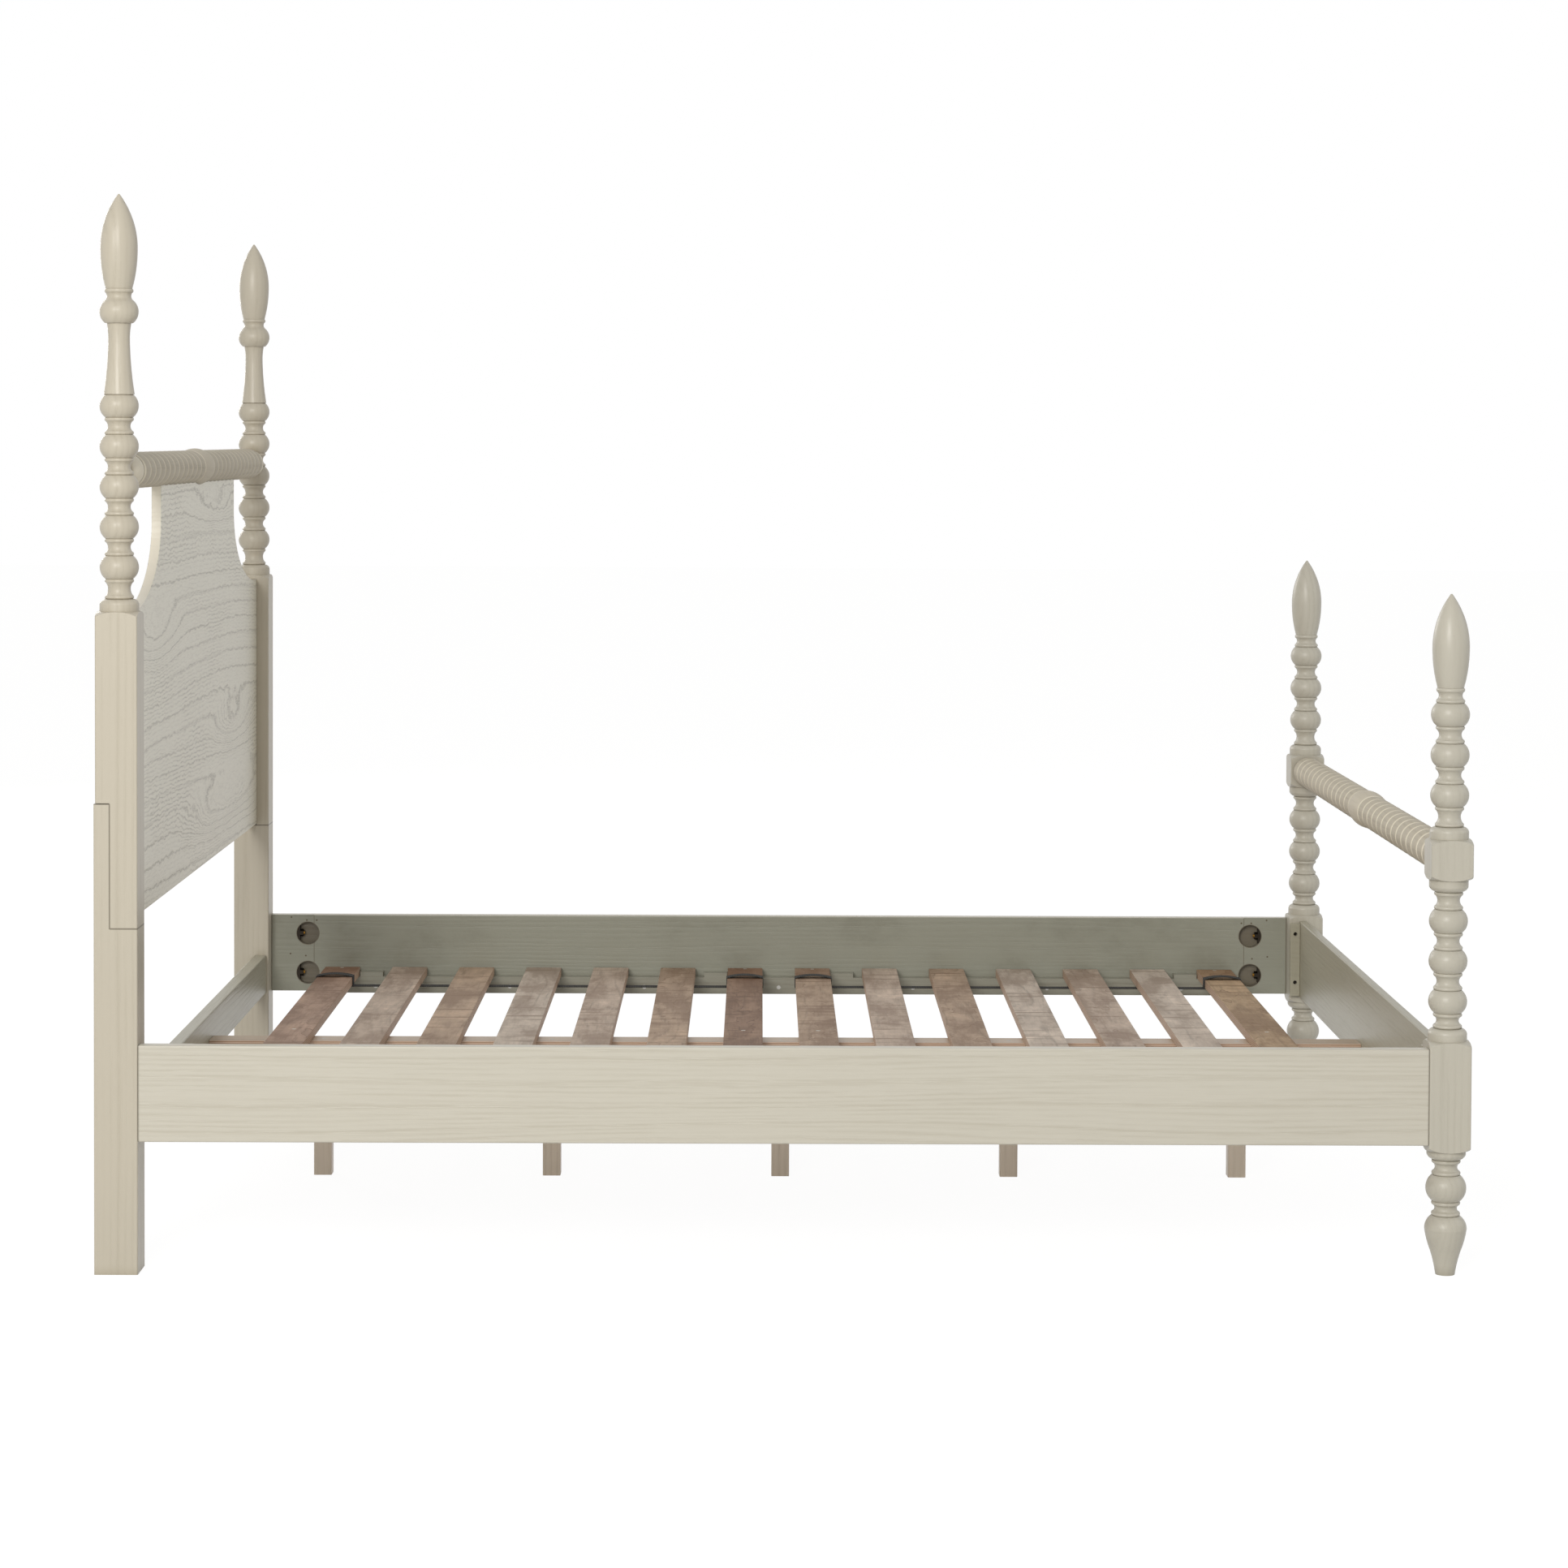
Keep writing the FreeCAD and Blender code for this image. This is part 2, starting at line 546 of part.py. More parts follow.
for side, name in NAMES.items():
    label = "head_post_" + name
    body = doc.addObject("PartDesign::Body", label + "_turned")
    block(body, label + "_square", "lap_low", "head_square")
    shoulder(body, label + "_shoulder", "head_square", 1)
    last = "head_ball + (head_balls - 1) * head_pitch"
    steps = ring_above("head_square", "head_ball - ball_half")
    steps += balls("head_ball", "head_pitch", count("head_balls"))
    steps += [("line", "vase_low / 2", f"{last} + ball_half"),
              ("arc", "vase_side / 2", "vase_slim", "-vase_hollow"),
              ("arc", "vase_top / 2", "crown_ball - ball_half", "-vase_flare"),
              ("line", WAIST, "crown_ball - ball_half")]
    steps += ball("crown_ball") + finial("head_tall") + [("line", "0", "head_square")]
    spin(body, label + "_turning", "Revolution", ("0", "head_square"), steps)
    put(body, HEAD_X, f"{side} * {POST_Y}")
    tools = [
        box(label + "_lap",
            (f"{HEAD_X} - post_side", f"{inner_y(side)} - {side} * {PAST}", f"lap_low - {PAST}"),
            (f"{HEAD_X} + {LAP_FACE}", f"{inner_y(side)} + {side} * (post_side + {PAST})",
             "lap_high + lap_gap")),
        box(label + "_groove",
            (f"{HEAD_X} + {PANEL_BACK} - tenon_gap", f"{inner_y(side)} - {side} * {PAST}",
             f"lap_low - {PAST}"),
            (f"{HEAD_X} + {PANEL_BACK} + panel_thick + tenon_gap", f"{inner_y(side)} + {side} * panel_groove",
             f"panel_shoulder + {PAST}")),
        spigot_socket(label + "_socket", HEAD_X, side, "head_rail_height", "ball_side / 2"),
    ]
    for place, y, height in lap_places(side):
        tools.append(rod(f"{label}_insert_bore_{place}", (f"{HEAD_X} + {LAP_FACE} - {PAST}", y, height),
                         "+X", "insert_side", f"{PAST} + lap_insert_long"))
        tools.append(rod(f"{label}_bolt_bore_{place}", (f"{HEAD_X} + {LAP_FACE}", y, height), "+X",
                         "bolt_side + 2 * screw_gap", "lap_insert_long + lap_bolt_show + bore_spare"))
    nodes.append(cut(label, body, tools))

# head legs: square, with a tongue up the back of the post

for side, name in NAMES.items():
    label = "head_leg_" + name
    body = board(label + "_stick", "Z",
                 (f"{HEAD_X} - {HALF} - tongue_proud", f"{side} * {POST_Y} - {HALF}", "0"),
                 (f"{HEAD_X} + {HALF}", f"{side} * {POST_Y} + {HALF}", "lap_high"), "post_round")
    tools = [
        box(label + "_lap", (f"{HEAD_X} + {LAP_FACE}", f"{inner_y(side)} - {side} * {PAST}", "lap_low"),
            (f"{HEAD_X} + post_side", f"{inner_y(side)} + {side} * (post_side + {PAST})",
             f"lap_high + {PAST}")),
        tenon(label + "_mortise", side, *CROSS_TENON, gap="tenon_gap"),
    ]
    for place, y, height in lap_places(side):
        tools.append(rod(f"{label}_sink_{place}", (f"{HEAD_X} - {HALF} - tongue_proud - {PAST}", y, height),
                         "+X", "lap_sink_side", f"{PAST} + lap_sink"))
        tools.append(rod(f"{label}_bolt_bore_{place}", (f"{HEAD_X} - {HALF} - tongue_proud", y, height), "+X",
                         "bolt_side + 2 * screw_gap", f"tongue_thick + {PAST}"))
    nodes.append(cut(label, body, tools + bolt_bores(label, -1, side)))

# lap fasteners: two bolts a side, each with a washer and a threaded insert in the post

bolts, washers, inserts = [], [], []
LAP_SEAT = f"{HEAD_X} - {HALF} - tongue_proud + lap_sink"
for side, name in NAMES.items():
    for place, y, height in lap_places(side):
        tag = f"{name}_{place}"
        head = doc.addObject("Part::Prism", f"lap_head_{tag}")
        head.Polygon = 6
        bind(head, Circumradius="lap_head_side / 2", Height="lap_head_tall")
        put(head, f"{LAP_SEAT} - lap_washer_thick - lap_head_tall", y, height, turned=ALONG["+X"])
        shank = rod(f"lap_shank_{tag}", (f"{LAP_SEAT} - lap_washer_thick", y, height), "+X", "bolt_side",
                    "lap_washer_thick + tongue_thick - lap_sink + lap_insert_long + lap_bolt_show")
        bolts.append(fuse(f"lap_bolt_{tag}", [head, shank]))
        disc = rod(f"lap_disc_{tag}", (f"{LAP_SEAT} - lap_washer_thick", y, height), "+X", "lap_washer_side",
                   "lap_washer_thick")
        hole = rod(f"lap_eye_{tag}", (f"{LAP_SEAT} - lap_washer_thick - {PAST}", y, height), "+X",
                   "bolt_side + 2 * screw_gap", f"lap_washer_thick + 2 * {PAST}")
        washers.append(cut(f"lap_washer_{tag}", disc, [hole]))
        shell = rod(f"lap_shell_{tag}", (f"{HEAD_X} + {LAP_FACE}", y, height), "+X", "insert_side",
                    "lap_insert_long")
        thread = rod(f"lap_thread_{tag}", (f"{HEAD_X} + {LAP_FACE} - {PAST}", y, height), "+X",
                     "bolt_side + 2 * screw_gap", f"lap_insert_long + 2 * {PAST}")
        inserts.append(cut(f"lap_insert_{tag}", shell, [thread]))
nodes += [group("lap_bolts", bolts), group("lap_washers", washers), group("lap_inserts", inserts)]

# head panel: one board to look at, drawn as two solids that meet face to face where the hollows
# end: a wide lower board whose upper corners are cut away by quarters of an ellipse, and the
# narrow neck above it, up into the top rail

PANEL_TOP = "(head_rail_height - rib_side / 2 + panel_in_rail)"
PANEL_HALF = f"({POST_Y} - {HALF} + panel_groove - tenon_gap)"
PANEL_NECK = f"({POST_Y} - cutout_inset - cutout_wide)"
CUTOUT_Z = "(panel_shoulder + cutout_tall)"
PANEL_FRONT = f"({PANEL_BACK} + panel_thick)"
panel = box("panel_board", (f"{HEAD_X} + {PANEL_BACK}", f"-{PANEL_HALF}", "lap_low + panel_rise"),
            (f"{HEAD_X} + {PANEL_FRONT}", PANEL_HALF, CUTOUT_Z))
scoops = []
for side, name in NAMES.items():
    curve = doc.addObject("Part::Ellipse", "cutout_curve_" + name)
    bind(curve, MajorRadius="cutout_wide", MinorRadius="cutout_tall")
    put(curve, f"{HEAD_X} + {PANEL_BACK} - {PAST}", f"{side} * ({POST_Y} - cutout_inset)", CUTOUT_Z,
        turned=Rotation(Vector(0, 1, 0), Vector(0, 0, 1), Vector(1, 0, 0)))
    scoop = doc.addObject("Part::Extrusion", "cutout_scoop_" + name)
    scoop.Base = curve
    scoop.DirMode = "Custom"
    scoop.Dir = Vector(1, 0, 0)
    scoop.Solid = True
    bind(scoop, LengthFwd=f"panel_thick + 2 * {PAST}")
    scoops.append(scoop)
nodes.append(cut("head_panel", panel, scoops))
neck = box("panel_neck_board", (f"{HEAD_X} + {PANEL_BACK}", f"-{PANEL_NECK}", CUTOUT_Z),
            (f"{HEAD_X} + {PANEL_FRONT}", PANEL_NECK, PANEL_TOP))
neck.Label = "head_panel_neck"
nodes.append(neck)


# ribbed rails: turned on their own long axis, a swelling barrel between two equal runs of ribs,
# each rib a gently crowned band between two rounded lips

def ribbed(label, x, height, ribs, start, ball_long):
    """Start is where the rail begins, from a post's axis, and ball_long the length of its end balls."""
    span = f"({POST_Y} - barrel_half - {start} - {ball_long})"
    pitch = f"({span} / {ribs})"
    end, root, edge = f"({POST_Y} - {start})", "rib_root / 2", "rib_edge / 2"
    core = [("line", root, f"-({end} - {ball_long})"), ("line", root, "-barrel_half"),
            ("line", "barrel_end / 2", "-barrel_half"),
            ("arc", "barrel_end / 2", "barrel_half", "((barrel_side - barrel_end) / 2)"),
            ("line", root, "barrel_half"), ("line", root, f"{end} - {ball_long}")]
    if ball_long != "0":
        swell = "((end_ball_side - end_ball_neck / 2 - end_ball_tip / 2) / 2)"
        core = [("line", "end_ball_tip / 2", f"-({end})"),
                ("arc", "end_ball_neck / 2", f"-({end} - {ball_long})", swell)] + core
        core += [("line", "end_ball_neck / 2", f"{end} - {ball_long}"),
                 ("arc", "end_ball_tip / 2", end, swell)]
    spigot = "spigot_side / 2"
    core = [("line", spigot, f"-({end} + spigot_long)"), ("line", spigot, f"-({end})")] + core
    core += [("line", spigot, end), ("line", spigot, f"{end} + spigot_long"),
             ("line", "0", f"{end} + spigot_long"), ("line", "0", f"-({end} + spigot_long)")]
    body = doc.addObject("PartDesign::Body", label + "_turned")
    spin(body, label + "_core", "Revolution", core[-1][1:3], core)
    for name, low, high in (("right", f"-(barrel_half + {pitch})", "-barrel_half"),
                            ("left", "barrel_half", f"(barrel_half + {pitch})")):
        rib = spin(body, f"{label}_rib_{name}", "Revolution", ("0", low),
                   [("line", root, low), ("arc", edge, f"{low} + rib_lip", "rib_lip_round"),
                    ("arc", edge, f"{high} - rib_lip", "((rib_side - rib_edge) / 2)"),
                    ("arc", root, high, "rib_lip_round"), ("line", "0", high), ("line", "0", low)])
        row = body.newObject("PartDesign::LinearPattern", f"{label}_ribs_{name}")
        row.Originals = [rib]
        row.Direction = (rib.Profile[0], ["V_Axis"])
        row.Reversed = name == "right"
        bind(row, Length=f"{span} - {pitch}", Occurrences=ribs)
        body.Tip = row
    return put(body, x, "0", height, turned=ALONG["+Y"])


rail = ribbed("head_top_rail", HEAD_X, "head_rail_height", "head_ribs", "(ball_side / 2 + end_ball_gap)",
              "end_ball_long")
slot = box("head_top_rail_slot",
           (f"{HEAD_X} + {PANEL_BACK} - tenon_gap", f"-{PANEL_NECK} - tenon_gap",
            "head_rail_height - barrel_side"),
           (f"{HEAD_X} + {PANEL_BACK} + panel_thick + tenon_gap", f"{PANEL_NECK} + tenon_gap",
            f"{PANEL_TOP} + tenon_gap"))
nodes.append(cut("head_top_rail", rail, [slot]))
rail = ribbed("foot_top_rail", FOOT_X, FOOT_RAIL_Z, "foot_ribs", f"({HALF} + tenon_gap)", "0")
rail.Label = "foot_top_rail"
nodes.append(rail)

# cross rail and end rail: flat rails tenoned into the legs and the foot posts


def flat_rail(label, x_low, x_high, z_low, z_high, tenon_box, screws):
    rail = board(label + "_board", "Y", (x_low, f"{inner_y(-1)} + tenon_gap", z_low),
                 (x_high, f"{inner_y(1)} - tenon_gap", z_high), "rail_round")
    tenons = [tenon(f"{label}_tenon_{name}", side, *tenon_box) for side, name in NAMES.items()]
    return cut(label, fuse(label + "_joined", [rail] + tenons), screws)


SEAT_SCREW_Z = f"(({BEAM_LOW} + cross_low) / 2)"


def seat_screws(end, gap="0"):
    """Two screws through the block under a beam end, into the flat rail behind it."""
    x = f"({HEAD_X} + {CROSS_FRONT} + seat_deep)" if end < 0 else f"({FOOT_X} + {END_RAIL_IN} - seat_deep)"
    return [screw(f"seat_{ENDS[end]}_{'hole' if gap != '0' else 'screw'}_{NAMES[side]}",
                  (x, f"{side} * seat_screw_spacing / 2", SEAT_SCREW_Z),
                  INTO_POST[end], "seat_screw_long", gap) for side in NAMES]


holes_head, holes_foot = seat_screws(-1, "screw_gap"), seat_screws(1, "screw_gap")
nodes.append(flat_rail("head_cross_rail", f"{HEAD_X} + {CROSS_FRONT} - cross_thick",
                       f"{HEAD_X} + {CROSS_FRONT}", "cross_low", "cross_low + cross_tall", CROSS_TENON,
                       holes_head))
nodes.append(flat_rail("foot_end_rail", f"{FOOT_X} + {END_RAIL_IN}", f"{FOOT_X} + end_rail_back",
                       "rail_low", RAIL_HIGH, END_TENON, holes_foot))


# foot posts: vase foot, lower block, three balls, upper block, three balls and a finial

def cleat_screw_places(side):
    x = f"({FOOT_X} - {HALF} / 2 + {END_RAIL_IN} / 2)"
    middle = "(rail_low + cleat_rise + cleat_tall / 2 + cleat_screw_rise)"
    for place, step in (("low", -1), ("high", 1)):
        height = f"{middle} + {step} * cleat_screw_spacing / 2"
        yield place, x, f"{inner_y(side)} - {side} * cleat_deep", height


def cleat_screw(name, x, y, height, side, gap="0"):
    start = (x, f"{y} + {side} * cleat_sink", height)
    head = rod(name + "_head", start, OUTWARD[side], f"cleat_screw_head + 2 * {gap}", "screw_head_tall")
    shank = rod(name + "_shank", start, OUTWARD[side], f"screw_side + 2 * {gap}",
                f"cleat_screw_long + {gap}")
    return fuse(name, [head, shank])


for side, name in NAMES.items():
    label = "foot_post_" + name
    body = doc.addObject("PartDesign::Body", label + "_turned")
    block(body, label + "_lower_block", "lower_block_low", "lower_block_high")
    shoulder(body, label + "_lower_shoulder", "lower_block_low", -1)
    shoulder(body, label + "_middle_shoulder", "lower_block_high", 1)
    steps = [("line", "foot_tread / 2", "0"), ("arc", "ankle_slim_side / 2", "ankle_slim", "-ankle_hollow"),
             ("arc", "ankle_vase_side / 2", "ankle_vase", "ankle_swell"),
             ("arc", WAIST, "ankle_vase_top", "ankle_crown")]
    steps += link("ankle_vase_top", "ankle_ball - ankle_ball_half")
    steps += ball("ankle_ball", "ankle_ball_side", "ankle_ball_half")
    steps += ring_below("ankle_ball + ankle_ball_half", "lower_block_low", "ankle_ring")
    spin(body, label + "_ankle", "Revolution", ("0", "0"), steps + [("line", "0", "0")])
    steps = ring_above("lower_block_high", "mid_ball - ball_half")
    steps += balls("mid_ball", "foot_pitch", count("foot_balls"))
    steps += ring_below("mid_ball + (foot_balls - 1) * foot_pitch + ball_half", "upper_block_low")
    spin(body, label + "_middle", "Revolution", ("0", "lower_block_high"),
         steps + [("line", "0", "lower_block_high")])
    block(body, label + "_upper_block", "upper_block_low", "upper_block_high")
    shoulder(body, label + "_upper_under", "upper_block_low", -1)
    shoulder(body, label + "_upper_shoulder", "upper_block_high", 1)
    steps = ring_above("upper_block_high", "top_ball - ball_half")
    steps += balls("top_ball", "foot_pitch", count("foot_balls"))
    steps += bead("top_ball + (foot_balls - 1) * foot_pitch + ball_half") + finial("foot_tall")
    spin(body, label + "_top", "Revolution", ("0", "upper_block_high"),
         steps + [("line", "0", "upper_block_high")])
    put(body, FOOT_X, f"{side} * {POST_Y}")
    tools = [spigot_socket(label + "_socket", FOOT_X, side, FOOT_RAIL_Z, f"{HALF} + tenon_gap"),
             tenon(label + "_mortise", side, *END_TENON, gap="tenon_gap")]
    tools += [cleat_screw(f"{label}_pilot_{place}", x, y, height, side, "screw_gap")
              for place, x, y, height in cleat_screw_places(side)]
    nodes.append(cut(label, body, tools + bolt_bores(label, 1, side)))

# cleats in the corners between the end rail and the posts, and their recessed screws

screws = []
for side, name in NAMES.items():
    label = "foot_cleat_" + name
    near, far = inner_y(side), f"{inner_y(side)} - {side} * cleat_deep"
    strip = board(label + "_strip", "Z",
                  (f"{FOOT_X} - {HALF}", f"min({near}; {far})", "rail_low + cleat_rise"),
                  (f"{FOOT_X} + {END_RAIL_IN}", f"max({near}; {far})", "rail_low + cleat_rise + cleat_tall"),
                  "cleat_round")
    tools = []
    for place, x, y, height in cleat_screw_places(side):
        tools.append(cleat_screw(f"{label}_hole_{place}", x, y, height, side, "screw_gap"))
        tools.append(rod(f"{label}_sink_{place}", (x, f"{y} - {side} * {PAST}", height), OUTWARD[side],
                         "cleat_sink_side", f"{PAST} + cleat_sink"))
        screws.append(cleat_screw(f"cleat_screw_{name}_{place}", x, y, height, side))
    nodes.append(cut(label, strip, tools))
nodes.append(group("cleat_screws", screws))


# side rails, with a solid block let into each end for the bed bolts

def into_bed(end, distance):
    return f"{face_x(end)} - {end} * ({distance})"


def rail_y(side, depth):
    """A depth into a side rail from its inner face."""
    return f"{side} * ({RAIL_INNER} + ({depth}))"


def pockets(name, end, side):
    return [rod(f"{name}_{place}", (into_bed(end, "pocket_reach"), rail_y(side, f"-{PAST}"), point[2]),
                OUTWARD[side], "pocket_side", f"{PAST} + block_deep")
            for place, point in bolt_places(end, side)]


def bolt_tunnels(name, end, side):
    return [rod(f"{name}_{place}", point, INTO_POST[-end], "bolt_side + 2 * screw_gap", "pocket_reach")
            for place, point in bolt_places(end, side)]


LEDGE_SCREWS = 7


def ledge_screw_places(side):
    for step in range(LEDGE_SCREWS):
        x = f"({step - (LEDGE_SCREWS - 1) / 2} * 2 * slat_pitch)"
        yield step, (x, f"{side} * ({RAIL_INNER} - ledge_wide)",
                     "rail_low + ledge_tall / 2 - ledge_screw_drop")


screws = []
for side, name in NAMES.items():
    label = "side_rail_" + name
    plank = board(label + "_plank", "X", (into_bed(-1, "rail_gap"), rail_y(side, "0"), "rail_low"),
                  (into_bed(1, "rail_gap"), rail_y(side, "rail_thick"), RAIL_HIGH), "rail_round")
    tools = []
    for end, end_name in ENDS.items():
        tools.append(box(f"{label}_recess_{end_name}",
                         (into_bed(end, f"rail_gap - {PAST}"), rail_y(side, f"-{PAST}"),
                          f"rail_low - {PAST}"),
                         (into_bed(end, "rail_gap + block_long"), rail_y(side, "block_deep"),
                          f"{RAIL_HIGH} + {PAST}")))
        tools += pockets(f"{label}_pocket_{end_name}", end, side)
        block_label = f"end_block_{end_name}_{name}"
        solid = box(block_label + "_solid", (into_bed(end, "rail_gap"), rail_y(side, "0"), "rail_low"),
                    (into_bed(end, "rail_gap + block_long - block_seam"), rail_y(side, "block_deep"),
                     RAIL_HIGH))
        cuts = pockets(block_label + "_pocket", end, side)
        nodes.append(cut(block_label, solid, cuts + bolt_tunnels(block_label + "_tunnel", end, side)))
    tools += [screw(f"{label}_pilot_{step}", point, OUTWARD[side], "ledge_screw_long", "screw_gap")
              for step, point in ledge_screw_places(side)]
    nodes.append(cut(label, plank, tools))
    ledge_label = "slat_ledge_" + name
    strip = box(ledge_label + "_strip",
                (f"{SLAT_X[1]} - slat_wide / 2 - ledge_spare", rail_y(side, "-ledge_wide"), "rail_low"),
                (f"{SLAT_X[DECK_SLATS]} + slat_wide / 2 + ledge_spare", rail_y(side, "0"), LEDGE_TOP))
    tools = [screw(f"{ledge_label}_hole_{step}", point, OUTWARD[side], "ledge_screw_long", "screw_gap")
             for step, point in ledge_screw_places(side)]
    tools += [screw(f"{ledge_label}_pilot_{number}",
                    (SLAT_X[number], f"{side} * (slat_long / 2 - slat_screw_edge)",
                     f"{LEDGE_TOP} + slat_thick"), "-Z", "slat_screw_long", "screw_gap") for number in TIED]
    nodes.append(cut(ledge_label, strip, tools))
    screws += [screw(f"ledge_screw_{name}_{step}", point, OUTWARD[side], "ledge_screw_long")
               for step, point in ledge_screw_places(side)]
nodes.append(group("ledge_screws", screws))

# bed bolts: threaded rods in inserts in the posts, drawn up by a nut on a half-moon washer

NUT_SEAT = "(pocket_reach - pocket_side / 2 + crescent_thick)"
bolts, nuts, crescents, inserts = [], [], [], []
for end, end_name in ENDS.items():
    for side, name in NAMES.items():
        for place, point in bolt_places(end, side):
            tag = f"{end_name}_{name}_{place}"
            x, y, z = point
            bolts.append(rod(f"bed_bolt_{tag}", (f"{x} + {end} * bolt_grip", y, z), INTO_POST[-end],
                             "bolt_side", f"bolt_grip + {NUT_SEAT} + nut_thick + bolt_show"))
            shell = rod(f"bolt_shell_{tag}", point, INTO_POST[end], "insert_side", "insert_long")
            thread = rod(f"bolt_thread_{tag}", (f"{x} - {end} * {PAST}", y, z), INTO_POST[end],
                         "bolt_side + 2 * screw_gap", f"insert_long + 2 * {PAST}")
            inserts.append(cut(f"bed_insert_{tag}", shell, [thread]))
            moon = rod(f"moon_round_{tag}",
                       (into_bed(end, "pocket_reach"), rail_y(side, "crescent_set"), z), OUTWARD[side],
                       "pocket_side - 2 * screw_gap", "block_deep - 2 * crescent_set")
            slab = box(f"moon_slab_{tag}",
                       (into_bed(end, "pocket_reach - pocket_side"), rail_y(side, "0"), f"{z} - pocket_side"),
                       (into_bed(end, NUT_SEAT), rail_y(side, "block_deep"), f"{z} + pocket_side"))
            half_moon = doc.addObject("Part::Common", f"moon_{tag}")
            half_moon.Base = moon
            half_moon.Tool = slab
            eye = rod(f"moon_eye_{tag}", (x, y, z), INTO_POST[-end], "bolt_side + 2 * screw_gap",
                      "pocket_reach")
            crescents.append(cut(f"crescent_{tag}", half_moon, [eye]))
            hexagon = doc.addObject("Part::Prism", f"nut_hexagon_{tag}")
            hexagon.Polygon = 6
            bind(hexagon, Circumradius="nut_flats / sqrt(3)", Height="nut_thick")
            put(hexagon, into_bed(end, NUT_SEAT), y, z, turned=ALONG[INTO_POST[-end]])
            eye = rod(f"nut_eye_{tag}", (x, y, z), INTO_POST[-end], "bolt_side + 2 * screw_gap",
                      "pocket_reach")
            nuts.append(cut(f"nut_{tag}", hexagon, [eye]))
nodes += [group("bed_bolts", bolts), group("bed_bolt_nuts", nuts), group("bed_bolt_crescents", crescents),
          group("bed_bolt_inserts", inserts)]

# slats on the ledges, in two rolls of seven, each tied by webbing at both sides

SLAT_TOP = f"({LEDGE_TOP} + slat_thick)"


def slat_screw_places(number):
    yield "right", (SLAT_X[number], "-(slat_long / 2 - slat_screw_edge)", SLAT_TOP)
    yield "middle", (SLAT_X[number], "0", SLAT_TOP)
    yield "left", (SLAT_X[number], "slat_long / 2 - slat_screw_edge", SLAT_TOP)


screws = []
for number, x in SLAT_X.items():
    label = f"slat_{number:02d}"
    lath = board(label + "_lath", "Y", (f"{x} - slat_wide / 2", "-slat_long / 2", LEDGE_TOP),
                 (f"{x} + slat_wide / 2", "slat_long / 2", SLAT_TOP), "slat_round")
    if number in TIED:
        holes = [screw(f"{label}_hole_{place}", point, "-Z", "slat_screw_long", "screw_gap")
                 for place, point in slat_screw_places(number)]
        screws += [screw(f"{label}_screw_{place}", point, "-Z", "slat_screw_long")
                   for place, point in slat_screw_places(number)]
        nodes.append(cut(label, lath, holes))
    else:
        lath.Label = label
        nodes.append(lath)
nodes.append(group("slat_screws", screws))

stops = []
for side, name in NAMES.items():
    for number, way in ((1, 1), (ROLL, -1), (ROLL + 1, 1), (DECK_SLATS, -1)):
        near = f"{SLAT_X[number]} + {way} * (slat_wide / 2 + stop_gap)"
        stops.append(box(f"slat_stop_{name}_{number}", (near, rail_y(side, "-ledge_wide"), LEDGE_TOP),
                         (f"{near} + {way} * stop_long", rail_y(side, "0"), f"{LEDGE_TOP} + stop_tall")))
nodes.append(group("slat_stops", stops))


def arch(name, x, low, grow, y_low, y_high):
    """A prism round a slat with an arched top: grow is its distance from the slat's edges."""
    body = doc.addObject("PartDesign::Body", name)
    left, right = f"{x} - slat_wide / 2 - {grow}", f"{x} + slat_wide / 2 + {grow}"
    top = f"{SLAT_TOP} + {grow}"
    sketch = outline(body, name + "_outline", "XZ", (left, low),
                     [("line", right, low), ("line", right, top), ("arc", left, top, "strap_arch"),
                      ("line", left, low)], f"-({y_high})")
    feature = body.newObject("PartDesign::Pad", name + "_pad")
    feature.Profile = sketch
    bind(feature, Length=f"({y_high}) - ({y_low})")
    return body


STRAP_OUT = "(strap_gap + strap_thick)"
for first in (1, ROLL + 1):
    tied = (first, first + ROLL - 1)
    for side, name in NAMES.items():
        label = f"slat_strap_{'head' if first == 1 else 'foot'}_{name}"
        middle = f"{side} * (slat_long / 2 - strap_edge)"
        y_low, y_high = f"{middle} - strap_wide / 2", f"{middle} + strap_wide / 2"
        low = f"{LEDGE_TOP} - {STRAP_OUT}"
        pieces = [box(label + "_run", (f"{SLAT_X[tied[0]]} - slat_wide / 2", y_low, low),
                      (f"{SLAT_X[tied[1]]} + slat_wide / 2", y_high, f"{low} + strap_thick"))]
        for number in tied:
            outer = arch(f"{label}_outer_{number}", SLAT_X[number], low, STRAP_OUT, y_low, y_high)
            inner = arch(f"{label}_inner_{number}", SLAT_X[number], f"{low} + strap_thick", "strap_gap",
                         f"{y_low} - {PAST}", f"{y_high} + {PAST}")
            pieces.append(cut(f"{label}_loop_{number}", outer, [inner]))
        nodes.append(fuse(label, pieces))

# centre beam on a block at each end and on five legs

BEAM_LOW_X = f"({HEAD_X} + {CROSS_FRONT} + beam_gap)"
BEAM_HIGH_X = f"({FOOT_X} + {END_RAIL_IN} - beam_gap)"


def leg_screws(kind, gap="0"):
    return [screw(f"leg_{kind}_{number}", (x, "0", LEDGE_TOP), "-Z", "leg_screw_long", gap)
            for number, x in enumerate(LEG_X, start=1)]


